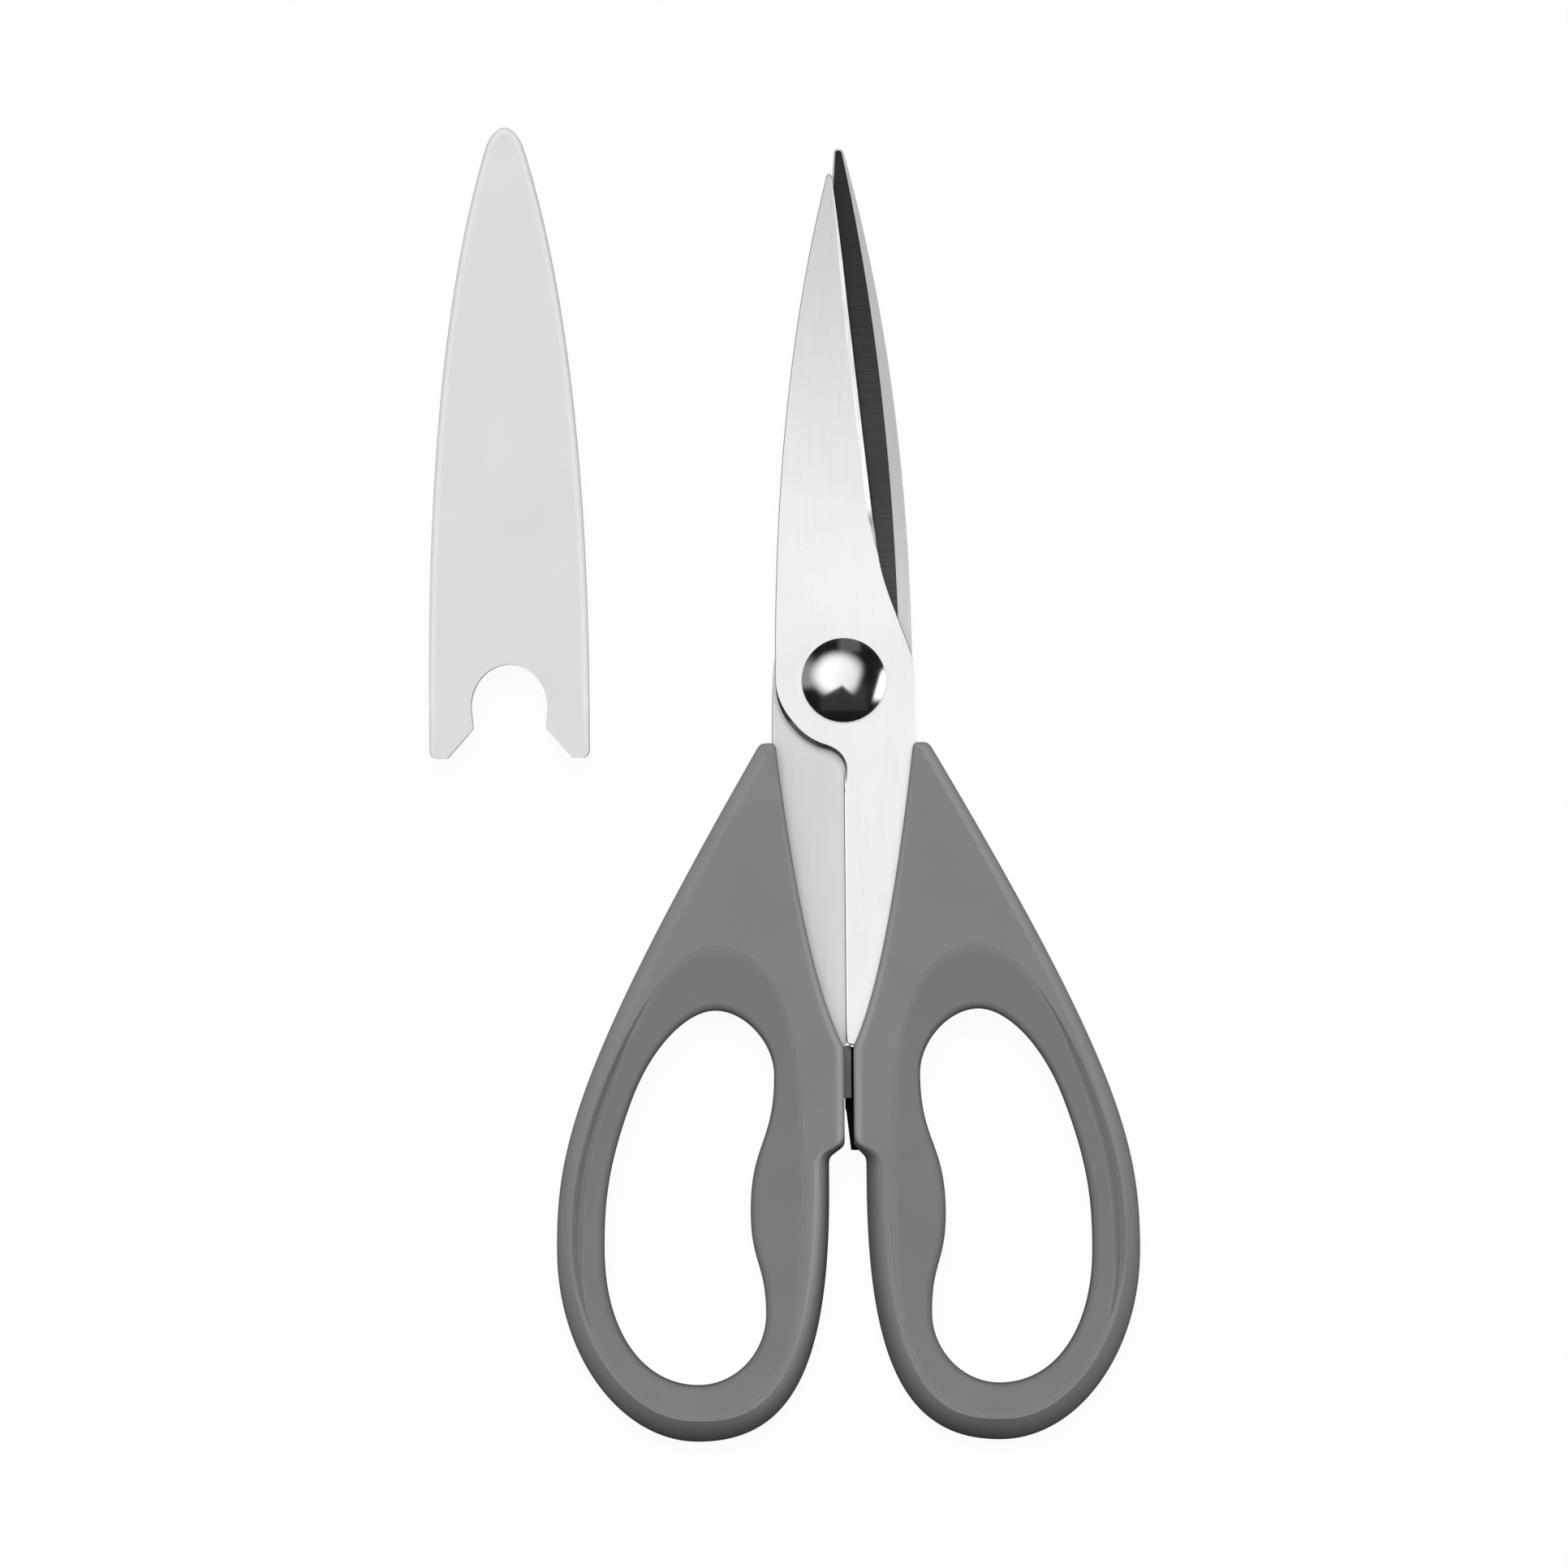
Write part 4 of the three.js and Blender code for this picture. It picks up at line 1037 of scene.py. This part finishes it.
def plastic(name, tints, rough, grain, shine=0, rim=None):
    """Moulded plastic between two tints, with another tint where the piece is marked as rim."""
    finish = Finish(name)
    finish.shader.inputs["Specular IOR Level"].default_value = shine
    scale, depth = grain
    speckle = finish.noise(scale, detail=2)
    tint = finish.tint(finish.noise(PLASTIC_CLOUDS), *tints)
    if rim:
        tint = finish.mix(finish.node("ShaderNodeAttribute", attribute_name="rim").outputs["Fac"], tint, rim)
    finish.colour(tint)
    finish.rough(speckle, *rough)
    finish.bump(speckle, depth, PLASTIC_BUMP)
    return finish.material


BLADE_FACE = steel(
    "blade_satin",
    ((0.83, 0.83, 0.825), (0.89, 0.89, 0.885)),
    (0.2, 0.28),
    LENGTHWISE,
    BRUSH,
    far=(0.6, 0.6, 0.6),
    metal=SATIN_METAL,
)
# Painted reflection: the hollow ground is tinted near-black for the dark surroundings that it mirrors
BLADE_HOLLOW_PAINTED_REFLECTION = steel(
    "blade_hollow_painted_reflection",
    ((0.065, 0.065, 0.067), (0.085, 0.085, 0.086)),
    (0.3, 0.45),
    CROSSWISE,
    BRUSH,
    far=(0.036, 0.036, 0.036),
)
# The mating faces' warm cast is the steel's own; their darker level is painted shade for the back blade lying
# lower
BLADE_MATING = steel(
    "blade_mating",
    ((0.7, 0.69, 0.685), (0.75, 0.735, 0.73)),
    (0.28, 0.36),
    LENGTHWISE,
    BRUSH,
    far=(0.51, 0.51, 0.51),
    fade=MATING_FADE,
    metal=SATIN_METAL,
)
BLADE_EDGE = steel(
    "blade_edge",
    ((0.8, 0.8, 0.795), (0.86, 0.86, 0.855)),
    (0.2, 0.28),
    LENGTHWISE,
    BRUSH,
    far=(0.6, 0.6, 0.6),
)
POLISH = steel("pivot_polish", ((0.78, 0.78, 0.78), (0.82, 0.82, 0.82)), (0.1, 0.14), EVEN, (800, 1e-6))
SPRING = steel("spring_temper", ((0.3, 0.3, 0.31), (0.36, 0.36, 0.37)), (0.3, 0.4), EVEN, (1500, 2e-6))
# The rim tint is a painted highlight on the handles' marked edges
HANDLE = plastic(
    "handle_grey",
    ((0.228, 0.228, 0.226), (0.242, 0.242, 0.24)),
    (0.45, 0.55),
    (5000, 1.2e-5),
    rim=(0.335, 0.335, 0.332),
)
# Painted shade: near-black plastic where the gap between the stops lies deep in shade
STOP_PAINTED_SHADE = plastic("stop_painted_shade", ((0.012, 0.012, 0.012), (0.018, 0.018, 0.018)), (0.6, 0.7), (4000, 1.6e-5))
GRIP = plastic(
    "grip_grey",
    ((0.202, 0.202, 0.202), (0.215, 0.215, 0.215)),
    (0.62, 0.75),
    (4000, 1.6e-5),
    rim=(0.235, 0.235, 0.233),
)
NYLON = plastic("spacer_nylon", ((0.74, 0.73, 0.69), (0.78, 0.77, 0.73)), (0.5, 0.6), (3000, 6e-6), shine=0.5)
# The rim tint is a painted highlight along the sheath's edges
FROSTED = plastic(
    "sheath_frosted",
    ((0.73, 0.735, 0.745), (0.76, 0.765, 0.775)),
    (0.42, 0.55),
    (3500, 8e-6),
    shine=0.5,
    rim=(0.86, 0.86, 0.865),
)

# Pieces
BLADE_FINISHES = [BLADE_FACE, BLADE_HOLLOW_PAINTED_REFLECTION, BLADE_MATING, BLADE_EDGE]
blade(FRONT_REACH - FRONT_TIP_SHORT, FRONT_TIP, False).piece(
    "front_blade_fine", "front_half", "front_blade", "blade_steel", BLADE_FINISHES, FRONT_PLACE
)
blade(BACK_REACH, BACK_TIP, True).piece(
    "back_blade_fine", "back_half", "back_blade", "blade_steel", BLADE_FINISHES, BACK_PLACE
)
handle(False).piece(
    "right_handle_fine", "front_half", "right_handle", "handle_plastic", [HANDLE, STOP_PAINTED_SHADE], FRONT_PLACE
)
handle(True).piece("left_handle_fine", "back_half", "left_handle", "handle_plastic", [HANDLE], BACK_PLACE)
grip().piece("right_grip_fine", "front_half", "right_grip", "grip_rubber", [GRIP], FRONT_PLACE)
grip().piece("left_grip_fine", "back_half", "left_grip", "grip_rubber", [GRIP], BACK_PLACE)
turned(rivet_profile()).piece(
    "pivot_rivet_fine", "pivot", "pivot_rivet", "pivot_steel", [POLISH], PIVOT_PLACE
)
turned(cap_profile()).piece("pivot_cap_fine", "pivot", "pivot_cap", "pivot_steel", [POLISH], PIVOT_PLACE)
washer_dish = washer_high.z - washer_low.z - WASHER_THICKNESS
turned(ring_profile(BORE_RADIUS, washer_high.x, washer_low.z, washer_high.z, washer_dish)).piece(
    "spring_washer_fine", "pivot", "spring_washer", "spring_steel", [SPRING], PIVOT_PLACE
)
turned(ring_profile(BORE_RADIUS, spacer_high.x, spacer_low.z, spacer_high.z, 0)).piece(
    "blade_spacer_fine", "pivot", "blade_spacer", "spacer_nylon", [NYLON], PIVOT_PLACE
)
sheath().piece("blade_sheath_fine", "sheath", "blade_sheath", "sheath_plastic", [FROSTED], SHEATH_PLACE)

# Floor
FLOOR_HALF = 4  # in metres, as is the next
FLOOR_Z = -0.0001
FLOOR_WHITE = 0.9
FLOOR_BOUNCE = 0.05  # how pale the floor is to the light that it throws back
FLOOR_GLOW_SHARE = 0.95  # the rest of what is seen of the floor takes the shadows
floor_corners = [(x * FLOOR_HALF, y * FLOOR_HALF, FLOOR_Z) for x, y in ((-1, -1), (1, -1), (1, 1), (-1, 1))]
floor_mesh = bpy.data.meshes.new("floor")
floor_mesh.from_pydata(floor_corners, [], [(0, 1, 2, 3)])
floor = bpy.data.objects.new("floor", floor_mesh)
bpy.context.collection.objects.link(floor)
floor_finish = bpy.data.materials.new("floor_white")
floor_finish.use_nodes = True
floor_tree = floor_finish.node_tree
floor_tree.nodes.clear()
rays = floor_tree.nodes.new("ShaderNodeLightPath").outputs
seen = rays["Is Camera Ray"]
for ray in ("Is Glossy Ray", "Is Transmission Ray"):
    seen = add_node(floor_tree, "ShaderNodeMath", seen, rays[ray], operation="MAXIMUM")
paleness = add_node(floor_tree, "ShaderNodeMapRange", seen, 0.0, 1.0, FLOOR_BOUNCE, FLOOR_WHITE)
glow_share = add_node(floor_tree, "ShaderNodeMath", seen, FLOOR_GLOW_SHARE, operation="MULTIPLY")
diffuse = add_node(floor_tree, "ShaderNodeBsdfDiffuse", paleness)
glow = add_node(floor_tree, "ShaderNodeEmission", WHITE, 1.0)
surface = add_node(floor_tree, "ShaderNodeMixShader", glow_share, diffuse, glow)
add_node(floor_tree, "ShaderNodeOutputMaterial", surface)
floor_mesh.materials.append(floor_finish)

# Light: a large soft box overhead, a white card to the right, dark walls, and a sun from almost overhead
SOFTBOX = 1.2
WALLS = 0.012
CARD = 1.9
HORIZON = 0.4
TOP_WALL = 0.11
LOW_WALL = 0.03
LEFT_WALL = 0.3
SUN = 1.68
SUN_SPREAD = math.radians(35)
SUN_TILT = (math.radians(-25), 0, 0)
# Places in a mirror ball seen from above, u to the right and v up, in ball radii. A pair is where an edge
# starts and ends its soft rise.
LEAN_SHARE = -0.3  # how far the upright edges lean with height
BOX_CENTRE = (-0.075, 0.08)
BOX_HALF = (0.39, 0.335)
BOX_SOFT = (1.35, 0.3)  # in squares of the half sizes
BOX_RIGHT = (0.31, 0.17)
BOX_FADE = (-0.3, 0.3, 1.1, 0.72)  # from and to, then the strength at either
ROOF_PEAK = -0.02
ROOF_SLOPES = (0.54, 0.9)
ROOF_EDGE = (-0.1, -0.05)
CARD_LEFT, CARD_RIGHT, CARD_HIGH, CARD_LOW = (0.49, 0.55), (0.68, 0.64), (0.22, 0.06), (-0.36, -0.2)
LEFT_WALL_RIGHT, LEFT_WALL_LOW, LEFT_WALL_HIGH = (-0.36, -0.5), (-0.16, -0.04), (0.42, 0.16)
TOP_WALL_LOW, TOP_WALL_LEFT, TOP_WALL_RIGHT = (0.38, 0.46), (-0.12, -0.02), (0.3, 0.2)
LOW_WALL_LOW, LOW_WALL_HIGH = (-0.5, -0.4), (0.0, -0.1)
LOW_WALL_LEFT, LOW_WALL_RIGHT = (-0.4, -0.3), (0.4, 0.3)
# Edges of the pale horizon in the direction's own height and depth
HORIZON_HIGH, HORIZON_BACK = (0.24, 0.14), (-0.2, 0.3)
LEAST_BALL = 0.01

world = bpy.data.worlds.new("studio")
bpy.context.scene.world = world
world.use_nodes = True
sky = world.node_tree
sky.nodes.clear()


def sky_math(operation, *values):
    return add_node(sky, "ShaderNodeMath", *values, operation=operation)


def sky_product(first, *others):
    for other in others:
        first = sky_math("MULTIPLY", first, other)
    return first


def sky_patch(*edges):
    """Lit where every value has passed its edge."""
    return sky_product(*(soft_step(sky, value, edge) for value, edge in edges))


# The mirror ball's u and v of each direction, from its x, y and z
split = sky.nodes.new("ShaderNodeSeparateXYZ")
sky.links.new(sky.nodes.new("ShaderNodeTexCoord").outputs["Generated"], split.inputs[0])
east, north, up = split.outputs
ball = sky_math("SQRT", sky_math("MAXIMUM", sky_math("MULTIPLY_ADD", up, 2.0, 2.0), LEAST_BALL))
u = sky_math("DIVIDE", east, ball)
v = sky_math("DIVIDE", north, ball)
leaning = sky_math("MULTIPLY_ADD", v, LEAN_SHARE, u)
from_peak = sky_math("SUBTRACT", ROOF_PEAK, u), sky_math("SUBTRACT", u, ROOF_PEAK)
from_peak = [sky_math("MAXIMUM", away, 0.0) for away in from_peak]
falls = [sky_math("MULTIPLY", away, slope) for away, slope in zip(from_peak, ROOF_SLOPES)]
above_roof = sky_math("ADD", v, sky_math("ADD", *falls))
box_across = sky_math("DIVIDE", sky_math("SUBTRACT", u, BOX_CENTRE[0]), BOX_HALF[0])
box_along = sky_math("DIVIDE", sky_math("SUBTRACT", v, BOX_CENTRE[1]), BOX_HALF[1])
squares = sky_math("ADD", sky_product(box_across, box_across), sky_product(box_along, box_along))
box = sky_patch((squares, BOX_SOFT), (leaning, BOX_RIGHT), (above_roof, ROOF_EDGE))
box_fade = add_node(sky, "ShaderNodeMapRange", leaning, *BOX_FADE)
card = sky_patch((leaning, CARD_LEFT), (u, CARD_RIGHT), (v, CARD_HIGH), (v, CARD_LOW))
left_wall = sky_patch((u, LEFT_WALL_RIGHT), (v, LEFT_WALL_LOW), (v, LEFT_WALL_HIGH))
top_wall = sky_patch((v, TOP_WALL_LOW), (u, TOP_WALL_LEFT), (u, TOP_WALL_RIGHT))
low_wall = sky_patch((v, LOW_WALL_LOW), (v, LOW_WALL_HIGH), (u, LOW_WALL_LEFT), (u, LOW_WALL_RIGHT))
horizon = sky_patch((up, HORIZON_HIGH), (north, HORIZON_BACK))
lit = WALLS
for shape, shine in (
    (sky_product(box, box_fade), SOFTBOX),
    (card, CARD),
    (top_wall, TOP_WALL),
    (low_wall, LOW_WALL),
    (left_wall, LEFT_WALL),
    (horizon, HORIZON),
):
    lit = sky_math("MULTIPLY_ADD", shape, shine, lit)
to_camera = sky.nodes.new("ShaderNodeLightPath").outputs["Is Camera Ray"]
level = sky_math("ADD", lit, sky_math("MULTIPLY", to_camera, sky_math("SUBTRACT", 1.0, lit)))
add_node(sky, "ShaderNodeOutputWorld", add_node(sky, "ShaderNodeBackground", WHITE, level))

sun_lamp = bpy.data.lights.new("sun", "SUN")
sun_lamp.energy = SUN
sun_lamp.angle = SUN_SPREAD
sun = bpy.data.objects.new("sun", sun_lamp)
sun.rotation_euler = SUN_TILT
sun.visible_glossy = False
bpy.context.collection.objects.link(sun)

# Camera: straight down from far off, turned a little so that the tips lean left
CAMERA_CENTRE = (-10.37, -17.69)
CAMERA_ROLL = -0.00855  # in radians
FRAME_WIDTH = 268.3
FRAME_HEIGHT = 8  # height at which the frame has that width
CAMERA_DISTANCE = 2600
SENSOR_WIDTH = 36
CLIP_END = 20  # in metres
camera_data = bpy.data.cameras.new("camera")
camera = bpy.data.objects.new("camera", camera_data)
bpy.context.collection.objects.link(camera)
camera.location = Vector((*CAMERA_CENTRE, FRAME_HEIGHT + CAMERA_DISTANCE)) * MM
camera.rotation_euler = (0, 0, CAMERA_ROLL)
camera_data.sensor_width = SENSOR_WIDTH
camera_data.lens = SENSOR_WIDTH * CAMERA_DISTANCE / FRAME_WIDTH
camera_data.clip_end = CLIP_END
bpy.context.scene.camera = camera
bpy.context.scene.view_settings.view_transform = "Standard"
